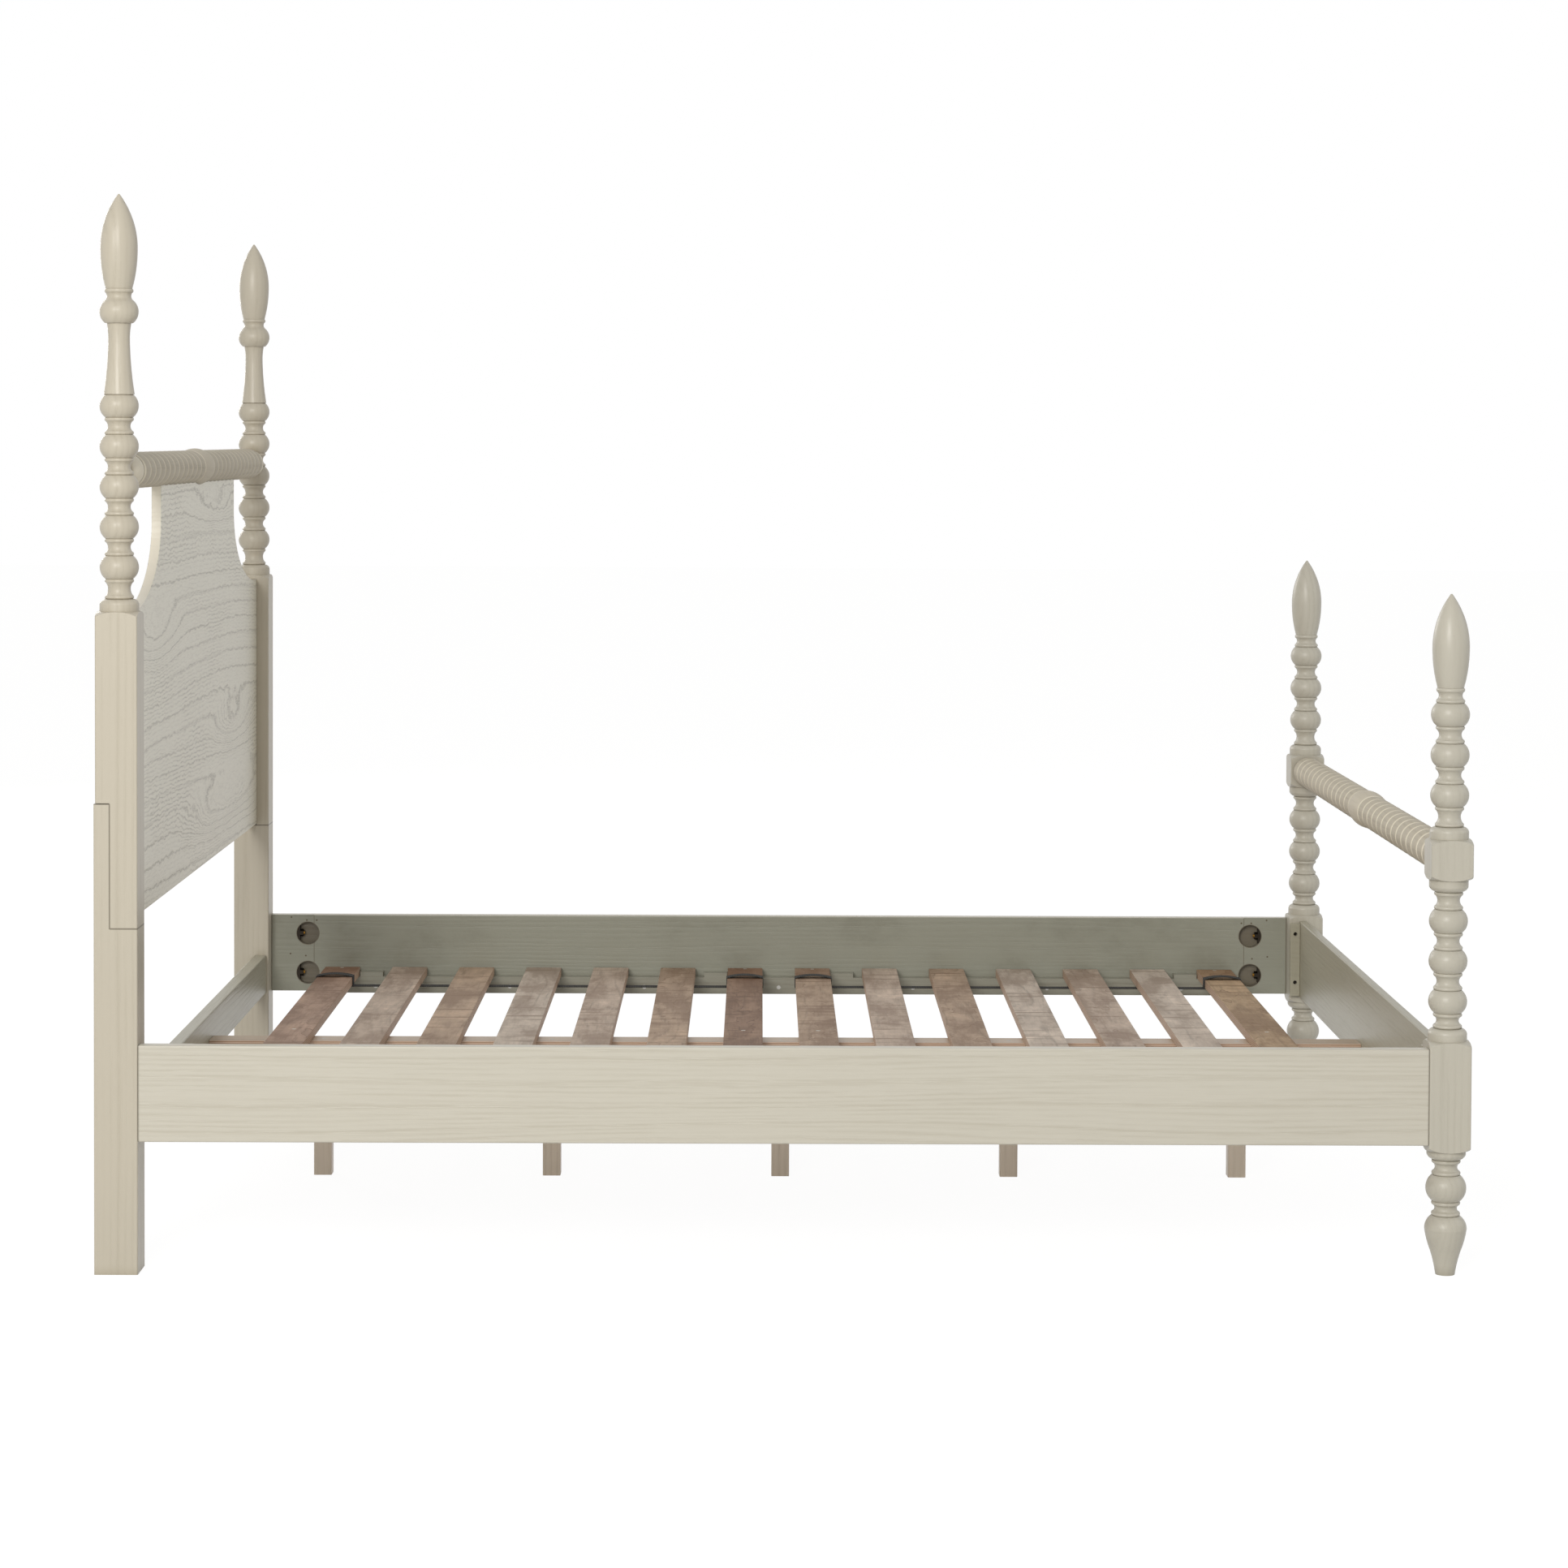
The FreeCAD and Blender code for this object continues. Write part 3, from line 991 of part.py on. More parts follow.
beam = box("centre_beam_plank", (BEAM_LOW_X, "-beam_wide / 2", BEAM_LOW),
           (BEAM_HIGH_X, "beam_wide / 2", LEDGE_TOP))
holes = leg_screws("beam_hole", "screw_gap")
holes += [screw(f"beam_pilot_{number}", (SLAT_X[number], "0", SLAT_TOP), "-Z", "slat_screw_long", "screw_gap")
          for number in TIED]
nodes.append(cut("centre_beam", beam, holes))
for number, x in enumerate(LEG_X, start=1):
    leg = board(f"centre_leg_{number}_stick", "Z", (f"{x} - leg_side / 2", "-leg_side / 2", "0"),
                (f"{x} + leg_side / 2", "leg_side / 2", BEAM_LOW), "rail_round")
    hole = screw(f"centre_leg_{number}_pilot", (x, "0", LEDGE_TOP), "-Z", "leg_screw_long", "screw_gap")
    nodes.append(cut(f"centre_leg_{number}", leg, [hole]))
for end, end_name in ENDS.items():
    back = f"({HEAD_X} + {CROSS_FRONT})" if end < 0 else f"({FOOT_X} + {END_RAIL_IN})"
    low = "cross_low" if end < 0 else "rail_low"
    seat = box(f"beam_seat_{end_name}_block", (back, "-seat_wide / 2", low),
               (f"{back} - {end} * seat_deep", "seat_wide / 2", BEAM_LOW))
    holes = [screw(f"beam_seat_{end_name}_hole_{NAMES[side]}",
                   (f"{back} - {end} * seat_deep", f"{side} * seat_screw_spacing / 2", SEAT_SCREW_Z),
                   INTO_POST[end], "seat_screw_long", "screw_gap") for side in NAMES]
    nodes.append(cut(f"beam_seat_{end_name}", seat, holes))
nodes.append(group("beam_screws", leg_screws("screw") + seat_screws(-1) + seat_screws(1)))

# every feature and every piece has to be whole before anything is written

doc.recompute()
for feature in doc.Objects:
    faults = [state for state in feature.State if state in ("Invalid", "Error")]
    if faults:
        raise RuntimeError(f"{feature.Label}: {faults}")
if len({piece.Label for piece in nodes}) != len(nodes):
    raise RuntimeError("two pieces share a name")
for piece in nodes:
    if piece.Shape.isNull() or not piece.Shape.isValid() or not piece.Shape.Solids:
        raise RuntimeError(f"{piece.Label} is not a valid solid")

os.makedirs("parts", exist_ok=True)
for piece in nodes:
    piece.Shape.exportStep(f"parts/{piece.Label}.step")
print(len(nodes), "pieces")
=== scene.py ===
import math

import bpy
from mathutils import Matrix, Vector


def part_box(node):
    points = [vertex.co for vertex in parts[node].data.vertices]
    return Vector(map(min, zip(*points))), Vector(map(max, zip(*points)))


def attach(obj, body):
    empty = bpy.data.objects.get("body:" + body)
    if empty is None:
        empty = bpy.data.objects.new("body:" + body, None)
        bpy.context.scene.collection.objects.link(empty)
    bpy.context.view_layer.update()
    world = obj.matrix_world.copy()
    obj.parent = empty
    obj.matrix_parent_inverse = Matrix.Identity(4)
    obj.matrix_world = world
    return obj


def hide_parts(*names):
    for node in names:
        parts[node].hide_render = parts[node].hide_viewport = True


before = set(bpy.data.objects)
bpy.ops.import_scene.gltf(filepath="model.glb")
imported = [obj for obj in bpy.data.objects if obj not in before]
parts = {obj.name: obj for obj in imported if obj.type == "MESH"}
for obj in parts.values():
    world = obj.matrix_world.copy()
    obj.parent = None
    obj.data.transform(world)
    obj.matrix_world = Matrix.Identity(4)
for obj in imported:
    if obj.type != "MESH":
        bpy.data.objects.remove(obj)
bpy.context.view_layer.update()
scene = bpy.context.scene
scene.view_settings.view_transform = "Standard"

# The view: a long lens from the right side of the bed, a little above the mattress line,
# level enough that the posts stay nearly upright. The axis passes above the frame's middle.

EYE = Vector((-0.040, -6.522, 1.3387))
FOCAL_PIXELS = 4462
AXIS_ABOVE_MIDDLE = 290.4
FRAME_PIXELS = 1932
PITCH_DOWN, TURN_RIGHT, ROLL = 0.03124, 0.00647, 0.0043
SENSOR_WIDE, SIGHT_FAR = 36, 60

level_ahead = Vector((TURN_RIGHT, 1, 0)).normalized()
level_right = Vector((1, -TURN_RIGHT, 0)).normalized()
ahead = level_ahead * math.cos(PITCH_DOWN) - Vector((0, 0, 1)) * math.sin(PITCH_DOWN)
upright = level_ahead * math.sin(PITCH_DOWN) + Vector((0, 0, 1)) * math.cos(PITCH_DOWN)
right = level_right * math.cos(ROLL) + upright * math.sin(ROLL)
above = upright * math.cos(ROLL) - level_right * math.sin(ROLL)
lens = bpy.data.cameras.new("side_view")
lens.sensor_width = SENSOR_WIDE
lens.sensor_fit = "HORIZONTAL"
lens.lens = FOCAL_PIXELS / FRAME_PIXELS * SENSOR_WIDE
lens.shift_y = -AXIS_ABOVE_MIDDLE / FRAME_PIXELS
lens.clip_end = SIGHT_FAR
camera = bpy.data.objects.new("side_view", lens)
scene.collection.objects.link(camera)
camera.matrix_world = Matrix.Translation(EYE) @ Matrix((right, above, -ahead)).transposed().to_4x4()
scene.camera = camera

# The room: a white sweep of floor that keeps a soft shadow, one large soft box at the front left
# above head height, weaker ones beyond the foot and behind the head, and an even white surround.


def node(tree, kind, feeds=(), **settings):
    """A shader or geometry node; feeds maps a socket to a value or to another node's output."""
    made = tree.nodes.new(kind)
    for name, setting in settings.items():
        setattr(made, name, setting)
    for socket, source in dict(feeds).items():
        if isinstance(source, bpy.types.NodeSocket):
            tree.links.new(source, made.inputs[socket])
        else:
            made.inputs[socket].default_value = source
    return made


def maths(tree, operation, *sources, clamp=False):
    return node(tree, "ShaderNodeMath", dict(enumerate(sources)), operation=operation,
                use_clamp=clamp).outputs[0]


def shown_white(tree, lit, white, share):
    """White to the camera and in reflections, by a share; lit as usual for everything else."""
    path = node(tree, "ShaderNodeLightPath").outputs
    seen = maths(tree, "MAXIMUM", path["Is Camera Ray"], path["Is Glossy Ray"])
    seen = maths(tree, "MAXIMUM", seen, path["Is Transmission Ray"])
    part = maths(tree, "MULTIPLY", seen, share)
    return node(tree, "ShaderNodeMixShader", {0: part, 1: lit.outputs[0], 2: white.outputs[0]}).outputs[0]


SURROUND = 0.42
PLAIN_WHITE = (1, 1, 1, 1)
world = bpy.data.worlds.new("surround")
scene.world = world
world.use_nodes = True
world.node_tree.nodes.clear()
glow = node(world.node_tree, "ShaderNodeBackground", {"Color": (1, 0.99, 0.975, 1), "Strength": SURROUND})
white = node(world.node_tree, "ShaderNodeBackground", {"Color": PLAIN_WHITE, "Strength": 1.0})
node(world.node_tree, "ShaderNodeOutputWorld", {"Surface": shown_white(world.node_tree, glow, white, 1.0)})

FLOOR_REACH, FLOOR_DROP = 30, 0.0005
FLOOR_GLOW, FLOOR_SHARE = 1.14, 0.82
corners = [(x * FLOOR_REACH, y * FLOOR_REACH, -FLOOR_DROP) for x, y in ((-1, -1), (1, -1), (1, 1), (-1, 1))]
floor_mesh = bpy.data.meshes.new("floor")
floor_mesh.from_pydata(corners, [], [(0, 1, 2, 3)])
floor = bpy.data.objects.new("floor", floor_mesh)
scene.collection.objects.link(floor)
floor_look = bpy.data.materials.new("floor_sweep")
floor_look.use_nodes = True
floor_look.node_tree.nodes.clear()
sweep = node(floor_look.node_tree, "ShaderNodeBsdfDiffuse", {"Color": (0.78, 0.78, 0.77, 1)})
white = node(floor_look.node_tree, "ShaderNodeEmission", {"Color": PLAIN_WHITE, "Strength": FLOOR_GLOW})
node(floor_look.node_tree, "ShaderNodeOutputMaterial",
     {"Surface": shown_white(floor_look.node_tree, sweep, white, FLOOR_SHARE)})
floor_mesh.materials.append(floor_look)


def softbox(name, place, target, across, watts, colour):
    light = bpy.data.lights.new(name, "AREA")
    light.shape = "DISK"
    light.size = across
    light.energy = watts
    light.color = colour
    lamp = bpy.data.objects.new(name, light)
    scene.collection.objects.link(lamp)
    lamp.location = place
    lamp.rotation_euler = (Vector(target) - lamp.location).to_track_quat("-Z", "Y").to_euler()


softbox("key_softbox", (-1.8, -7.0, 3.3), (0.0, 0, 0.7), 2.8, 290, (1, 0.985, 0.955))
softbox("fill_softbox", (4.2, -0.6, 2.2), (-1.0, 0, 0.9), 2.4, 14, (0.97, 0.985, 1))
softbox("back_softbox", (-4.0, 5.5, 2.6), (0.0, 0, 0.7), 2.6, 90, (1, 0.99, 0.97))

# The posts and head legs: solid oak, turned or planed, sanded and painted in a warm greige that
# leaves the fibre of the wood to be felt. Painted shade darkens the paint in the hollows, and a
# fine dark line shows where each head post is lapped onto its leg.

SOCKETS = {"FLOAT": "NodeSocketFloat", "VECTOR": "NodeSocketVector", "COLOUR": "NodeSocketColor"}


def shared_group(name, takes, gives):
    group = bpy.data.node_groups.new(name, "ShaderNodeTree")
    for socket, (kind, start) in takes.items():
        made = group.interface.new_socket(socket, in_out="INPUT", socket_type=SOCKETS[kind])
        made.default_value = start
    for socket, kind in gives.items():
        group.interface.new_socket(socket, in_out="OUTPUT", socket_type=SOCKETS[kind])
    return group, group.nodes.new("NodeGroupInput").outputs, group.nodes.new("NodeGroupOutput")


def stretched(tree, vector, stretch):
    return node(tree, "ShaderNodeVectorMath", {0: vector, 1: stretch}, operation="MULTIPLY").outputs[0]


def noise(tree, vector, scale=1.0, detail=2.0, rough=0.5):
    return node(tree, "ShaderNodeTexNoise", {"Vector": vector, "Scale": scale, "Detail": detail,
                                             "Roughness": rough}).outputs[0]


def ramp(tree, source, low, high):
    """0 below low and 1 above high, smoothly between."""
    return node(tree, "ShaderNodeMapRange", {"Value": source, "From Min": low, "From Max": high},
                interpolation_type="SMOOTHSTEP").outputs[0]


def band(tree, source, middle, half, soft):
    """1 within half of the middle, fading to 0 over the soft edge."""
    away = maths(tree, "ABSOLUTE", maths(tree, "SUBTRACT", source, middle))
    return maths(tree, "SUBTRACT", 1.0, ramp(tree, away, half, half + soft))


def blended(tree, share, first, second):
    """The first colour, giving way to the second by a share."""
    return node(tree, "ShaderNodeMix", {0: share, 6: first, 7: second}, data_type="RGBA").outputs[2]


# bold rings lie 4.3 fine ones apart, and fill a smaller share of the space between them
BOLD_EVERY, BOLD_WIDTH = 4.3, 0.4
FAINTEST_RING, PORE_FADE = 0.2, 0.25

# growth rings of a sawn board: contour lines of a field that rises across the board, is pushed
# about by a stretched noise and has a hill at each eye, broken up by pores along the fibre
rings, given, made = shared_group(
    "growth_rings",
    {"Vector": ("VECTOR", (0, 0, 0)), "Rise": ("VECTOR", (0, 0, 60)), "Drift": ("VECTOR", (1, 1, 6)),
     "Swirl": ("FLOAT", 4), "Hill": ("FLOAT", 0), "Pores": ("VECTOR", (20, 500, 500)),
     "Width": ("FLOAT", 0.3), "Break": ("FLOAT", 0.3)},
    {"Rings": "FLOAT", "Bold": "FLOAT", "Pores": "FLOAT"})
climb = node(rings, "ShaderNodeVectorMath", {0: given["Vector"], 1: given["Rise"]}, operation="DOT_PRODUCT")
slow = noise(rings, stretched(rings, given["Vector"], given["Drift"]), detail=1.2, rough=0.35)
swirled = maths(rings, "ADD", climb.outputs["Value"], maths(rings, "MULTIPLY", slow, given["Swirl"]))
field = maths(rings, "ADD", swirled, given["Hill"])
pores = noise(rings, stretched(rings, given["Vector"], given["Pores"]), detail=3.0, rough=0.6)
broken = ramp(rings, pores, given["Break"], maths(rings, "ADD", given["Break"], PORE_FADE))
fading = ramp(rings, noise(rings, stretched(rings, given["Vector"], given["Drift"]), scale=3.1), 0.35, 0.68)
fine_share = maths(rings, "ADD", FAINTEST_RING, fading)
bold_share = maths(rings, "SUBTRACT", 1.0 + FAINTEST_RING, fading)
for gap, width_share, strength, socket in ((1.0, 1.0, fine_share, "Rings"),
                                           (BOLD_EVERY, BOLD_WIDTH, bold_share, "Bold")):
    wave = maths(rings, "PINGPONG", maths(rings, "DIVIDE", field, gap), 0.5)
    width = maths(rings, "MULTIPLY", given["Width"], width_share)
    line = maths(rings, "SUBTRACT", 1.0, maths(rings, "DIVIDE", wave, width), clamp=True)
    shown = maths(rings, "MULTIPLY", maths(rings, "MULTIPLY", line, broken), strength, clamp=True)
    rings.links.new(shown, made.inputs[socket])
rings.links.new(pores, made.inputs["Pores"])

# painted shade in hollows: darker paint from how closed in a point of the surface is
shade_in_hollows, given, made = shared_group("painted_hollow_shade", {"Reach": ("FLOAT", 0.02)}, {"Painted Shade": "FLOAT"})
closed = node(shade_in_hollows, "ShaderNodeAmbientOcclusion", {"Distance": given["Reach"]}, samples=4)
shade_in_hollows.links.new(maths(shade_in_hollows, "SUBTRACT", 1.0, closed.outputs["AO"], clamp=True), made.inputs["Painted Shade"])


def srgb(red, green, blue):
    """A colour as it shows on a screen, 0 to 255, in the numbers a shader wants."""
    return tuple(((c / 255 + 0.055) / 1.055) ** 2.4 for c in (red, green, blue)) + (1,)


def placed(tree, group, feeds):
    return node(tree, "ShaderNodeGroup", feeds, node_tree=group).outputs


def shaded(colour, *shares):
    """A colour times a share, or times three shares for its red, green and blue."""
    return tuple(c * share for c, share in zip(colour[:3], shares * 3)) + (1,)


def surface(name):
    """A new material, its tree, its object coordinates and its shader."""
    material = bpy.data.materials.new(name)
    material.use_nodes = True
    tree = material.node_tree
    tree.nodes.clear()
    shader = node(tree, "ShaderNodeBsdfPrincipled")
    node(tree, "ShaderNodeOutputMaterial", {"Surface": shader.outputs[0]})
    return material, tree, node(tree, "ShaderNodeTexCoord").outputs["Object"], shader


def axes(tree, vector):
    return node(tree, "ShaderNodeSeparateXYZ", {0: vector}).outputs


HOLLOW_SHADE_REACH = 0.018


def painted_wood(name, paint, line, rise, drift, swirl, pores, strength, width=0.3, hollow_shade=0.0, rough=0.36,
                 gloss=0.42, relief=0.0002, broken=0.3, marks=None, eyes=None):
    """Painted timber. Paint and line are its two colours; the rest sets the grain under the paint.

    Marks is a function of the tree and the place that gives pairs of a mask and a colour, and
    eyes one that gives the hill that the grain runs round.
    """
    material, tree, place, shader = surface(name)
    grain = placed(tree, rings, {"Vector": place, "Rise": rise, "Drift": drift, "Swirl": swirl,
                                 "Pores": pores, "Width": width, "Break": broken,
                                 "Hill": eyes(tree, place) if eyes else 0.0})
    tone = ramp(tree, noise(tree, place, scale=3.0), 0.2, 0.8)
    colour = blended(tree, maths(tree, "MULTIPLY", tone, 0.35), paint, shaded(paint, 0.93))
    fine = maths(tree, "MULTIPLY", ramp(tree, grain["Pores"], 0.45, 0.75), strength * 0.35)
    colour = blended(tree, fine, colour, line)
    colour = blended(tree, maths(tree, "MULTIPLY", grain["Rings"], strength), colour, line)
    colour = blended(tree, maths(tree, "MULTIPLY", grain["Bold"], strength), colour, line)
    # painted shade: in hollows the colour darkens towards the line colour
    if hollow_shade:
        hollow_shade_mask = placed(tree, shade_in_hollows, {"Reach": HOLLOW_SHADE_REACH})["Painted Shade"]
        colour = blended(tree, maths(tree, "MULTIPLY", hollow_shade_mask, hollow_shade, clamp=True), colour, line)
    for mask, tint in marks(tree, place) if marks else ():
        colour = blended(tree, mask, colour, tint)
    tree.links.new(colour, shader.inputs["Base Color"])
    patch = node(tree, "ShaderNodeMapRange", {"Value": grain["Pores"], "To Min": rough - 0.06,
                                              "To Max": rough + 0.08}).outputs[0]
    tree.links.new(patch, shader.inputs["Roughness"])
    cut_lines = maths(tree, "ADD", grain["Rings"], grain["Bold"])
    height = maths(tree, "SUBTRACT", maths(tree, "MULTIPLY", grain["Pores"], 0.5), cut_lines)
    bump = node(tree, "ShaderNodeBump", {"Height": height, "Distance": relief, "Strength": 0.8})
    tree.links.new(bump.outputs[0], shader.inputs["Normal"])
    shader.inputs["Specular IOR Level"].default_value = gloss
    return material


def finish(material, *names):
    """Gives CAD parts their material, whole or by the start of their names."""
    for name in names:
        for part in [parts[key] for key in parts if key.startswith(name)]:
            part.data.materials.clear()
            part.data.materials.append(material)


TONGUE_THICK, TONGUE_GAP = 0.0255, 0.0004
SEAM_HALF, LEVEL_HALF, SEAM_SOFT = 0.0005, 0.0007, 0.0012
SEAM_SHADE = srgb(112, 104, 88)
POST_PAINT, POST_LINE = srgb(197, 189, 172), srgb(156, 146, 124)
leg_low, leg_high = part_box("head_leg_right")
lap_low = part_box("head_post_right")[0][2]


def lap_seam(tree, place):
    """The line round the leg's tongue: up its front edge, and level at its foot and its top."""
    x, _, z = axes(tree, place)
    tongue_face = leg_low[0] + TONGUE_THICK
    lap_middle, lap_half = (lap_low + leg_high[2]) / 2, (leg_high[2] - lap_low) / 2
    behind = ramp(tree, x, tongue_face + SEAM_HALF, tongue_face - SEAM_HALF)
    before = maths(tree, "SUBTRACT", 1.0, behind)
    upright_line = maths(tree, "MULTIPLY", band(tree, x, tongue_face, SEAM_HALF, SEAM_SOFT),
                         band(tree, z, lap_middle, lap_half, SEAM_SOFT))
    foot_line = maths(tree, "MULTIPLY", band(tree, z, lap_low, LEVEL_HALF, SEAM_SOFT), before)
    tongue_top = leg_high[2] + TONGUE_GAP
    top_line = maths(tree, "MULTIPLY", band(tree, z, tongue_top, LEVEL_HALF, SEAM_SOFT), behind)
    mask = maths(tree, "MAXIMUM", upright_line, maths(tree, "MAXIMUM", foot_line, top_line))
    return [(maths(tree, "MULTIPLY", mask, 0.8), SEAM_SHADE)]


UP_THE_POST = {"rise": (90, 60, 0), "drift": (9, 9, 1.2), "swirl": 2.0, "pores": (700, 700, 22)}
head_paint = painted_wood("head_post_paint", POST_PAINT, POST_LINE, strength=0.14, hollow_shade=0.8,
                          marks=lap_seam, **UP_THE_POST)
finish(head_paint, "head_post", "head_leg")
post_paint = painted_wood("foot_post_paint", srgb(196, 191, 177), srgb(152, 145, 127), strength=0.14,
                          hollow_shade=0.8, **UP_THE_POST)
finish(post_paint, "foot_post")

# The two ribbed rails: turned from one length of oak each, with a swelling barrel in the middle
# of two runs of gently crowned bands, rounded at their lips, and a ball at each end of the head
# rail. Round tenons go into the posts.

INPUTS = {float: "NodeSocketFloat", int: "NodeSocketInt", tuple: "NodeSocketVector",
          bpy.types.Material: "NodeSocketMaterial"}


def recipe(name, **sizes):
    """A geometry tree with named inputs, their names' underscores shown as spaces."""
    tree = bpy.data.node_groups.new(name, "GeometryNodeTree")
    tree.interface.new_socket("Geometry", in_out="INPUT", socket_type="NodeSocketGeometry")
    for label, start in sizes.items():
        kind = next(socket for held, socket in INPUTS.items() if isinstance(start, held))
        made = tree.interface.new_socket(label.replace("_", " "), in_out="INPUT", socket_type=kind)
        made.default_value = start
    tree.interface.new_socket("Geometry", in_out="OUTPUT", socket_type="NodeSocketGeometry")
    return tree, tree.nodes.new("NodeGroupInput").outputs, tree.nodes.new("NodeGroupOutput").inputs


def grown(name, tree, start=(), **sizes):
    """A plain mesh made by a recipe from start points, with the recipe's modifier gone again."""
    seed = bpy.data.meshes.new(name)
    seed.from_pydata(list(start), [], [])
    piece = bpy.data.objects.new(name, seed)
    scene.collection.objects.link(piece)
    maker = piece.modifiers.new("recipe", "NODES")
    maker.node_group = tree
    sockets = {item.name: item.identifier for item in tree.interface.items_tree if item.in_out == "INPUT"}
    for label, size in sizes.items():
        maker[sockets[label.replace("_", " ")]] = size
    ready = piece.evaluated_get(bpy.context.evaluated_depsgraph_get())
    shape = bpy.data.meshes.new_from_object(ready)
    piece.modifiers.remove(maker)
    piece.data = shape
    return piece


def joined(tree, *pieces):
    made = tree.nodes.new("GeometryNodeJoinGeometry")
    for piece in reversed(pieces):
        tree.links.new(piece, made.inputs[0])
    return made.outputs[0]


def creased(tree, shape, angle):
    """Smooth shading, broken at edges sharper than the angle."""
    smooth = node(tree, "GeometryNodeSetShadeSmooth", {0: shape}, domain="FACE").outputs[0]
    turn = node(tree, "GeometryNodeInputMeshEdgeAngle").outputs["Unsigned Angle"]
    sharp = maths(tree, "GREATER_THAN", turn, angle)
    return node(tree, "GeometryNodeSetShadeSmooth",
                {0: smooth, "Selection": sharp, "Shade Smooth": False}, domain="EDGE").outputs[0]


def wrapped(tree, sheet, x, y, z):
    """A flat sheet's points set to new places, with the points that meet there merged."""
    spot = node(tree, "ShaderNodeCombineXYZ", {0: x, 1: y, 2: z}).outputs[0]
    shell = node(tree, "GeometryNodeSetPosition", {0: sheet, "Position": spot}).outputs[0]
    return node(tree, "GeometryNodeMergeByDistance", {0: shell, "Distance": SAME_POINT}).outputs[0]


SAME_POINT = 0.00002
CREASE = 0.7

# one turned form along Y: its radius climbs over a rounded lip at each end and swells between
turned, given, made = recipe("turned_form", Length=0.05, End_Radius=0.026, Edge_Radius=0.029, Lip=0.005,
                             Swell=0.0, Rows=22, Sides=72)
grid = node(turned, "GeometryNodeMeshGrid", {
    "Size X": 1.0, "Size Y": 1.0, "Vertices X": maths(turned, "ADD", given["Sides"], 1),
    "Vertices Y": maths(turned, "ADD", given["Rows"], 1)})
across, along, _ = axes(turned, node(turned, "GeometryNodeInputPosition").outputs[0])
row = maths(turned, "MULTIPLY", maths(turned, "ADD", along, 0.5), given["Rows"])
step = maths(turned, "DIVIDE", maths(turned, "SUBTRACT", row, 1.0),
             maths(turned, "SUBTRACT", given["Rows"], 2), clamp=True)
spot = maths(turned, "MULTIPLY", maths(turned, "COSINE", maths(turned, "MULTIPLY", step, math.pi)), -0.5)
from_end = maths(turned, "MULTIPLY", maths(turned, "SUBTRACT", 0.5, maths(turned, "ABSOLUTE", spot)),
                 given["Length"])
left_over = maths(turned, "SUBTRACT", 1.0, maths(turned, "DIVIDE", from_end, given["Lip"], clamp=True))
lip = maths(turned, "SQRT", maths(turned, "SUBTRACT", 1.0, maths(turned, "MULTIPLY", left_over, left_over)))
spot_squared = maths(turned, "MULTIPLY", spot, spot)
crown = maths(turned, "SUBTRACT", 1.0, maths(turned, "MULTIPLY", spot_squared, 4.0))
lift = maths(turned, "SUBTRACT", given["Edge Radius"], given["End Radius"])
radius = maths(turned, "ADD", given["End Radius"], maths(turned, "MULTIPLY", lift, lip))
radius = maths(turned, "ADD", radius, maths(turned, "MULTIPLY", given["Swell"], crown))
off_start = maths(turned, "GREATER_THAN", row, 0.5)
off_end = maths(turned, "LESS_THAN", row, maths(turned, "SUBTRACT", given["Rows"], 0.5))
radius = maths(turned, "MULTIPLY", radius, maths(turned, "MULTIPLY", off_start, off_end))
angle = maths(turned, "MULTIPLY", maths(turned, "ADD", across, 0.5), 2 * math.pi)
shell = wrapped(turned, grid.outputs[0], x=maths(turned, "MULTIPLY", radius, maths(turned, "SINE", angle)),
                y=maths(turned, "MULTIPLY", spot, given["Length"]),
                z=maths(turned, "MULTIPLY", radius, maths(turned, "COSINE", angle)))
turned.links.new(creased(turned, shell, CREASE), made[0])


def form(tree, **sizes):
    feeds = {label.replace("_", " "): source for label, source in sizes.items()}
    return node(tree, "GeometryNodeGroup", feeds, node_tree=turned).outputs[0]


def vector(tree, x=0.0, y=0.0, z=0.0):
    return node(tree, "ShaderNodeCombineXYZ", {0: x, 1: y, 2: z}).outputs[0]


def moved(tree, shape, **place):
    return node(tree, "GeometryNodeTransform", {0: shape, **place}).outputs[0]


def repeated(tree, shape, points, **turn):
    return node(tree, "GeometryNodeInstanceOnPoints", {0: points, "Instance": shape, **turn}).outputs[0]


def closing(tree, shape, material, result):
    """The last two steps of a recipe: its copies made real, and its material set."""
    solid = node(tree, "GeometryNodeRealizeInstances", {0: shape}).outputs[0]
    painted = node(tree, "GeometryNodeSetMaterial", {0: solid, "Material": material}).outputs[0]
    tree.links.new(painted, result)


RIB_ROOT, RIB_EDGE, RIB_LIP, RIB_SWELL = 0.0250, 0.0286, 0.0080, 0.0012
BARREL_EDGE, BARREL_LIP, BARREL_SWELL, BARREL_HALF = 0.0286, 0.0045, 0.0044, 0.054
BALL_LONG, BALL_INSIDE, BALL_END, BALL_SIDE = 0.052, 0.018, 0.0140, 0.0270
SPIGOT_RADIUS, SPIGOT_LONG = 0.012, 0.022
BARREL_ROWS, BALL_ROWS, SPIGOT_ROWS = 40, 34, 4
HEAD_RAIL_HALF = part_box("head_top_rail")[1][1] - SPIGOT_LONG
ribbed, given, made = recipe("ribbed_rail", Ribs=13, Rib_Pitch=0.048, Barrel_Half=BARREL_HALF,
                             Ball_Long=BALL_LONG, Ball_Radius=BALL_SIDE, Rail_Half=HEAD_RAIL_HALF,
                             Place=(0.0, 0.0, 0.0), Paint=post_paint)
rib = form(ribbed, Length=given["Rib Pitch"], End_Radius=RIB_ROOT, Edge_Radius=RIB_EDGE, Lip=RIB_LIP,
           Swell=RIB_SWELL)
first = maths(ribbed, "ADD", given["Barrel Half"], maths(ribbed, "MULTIPLY", given["Rib Pitch"], 0.5))
runs = []
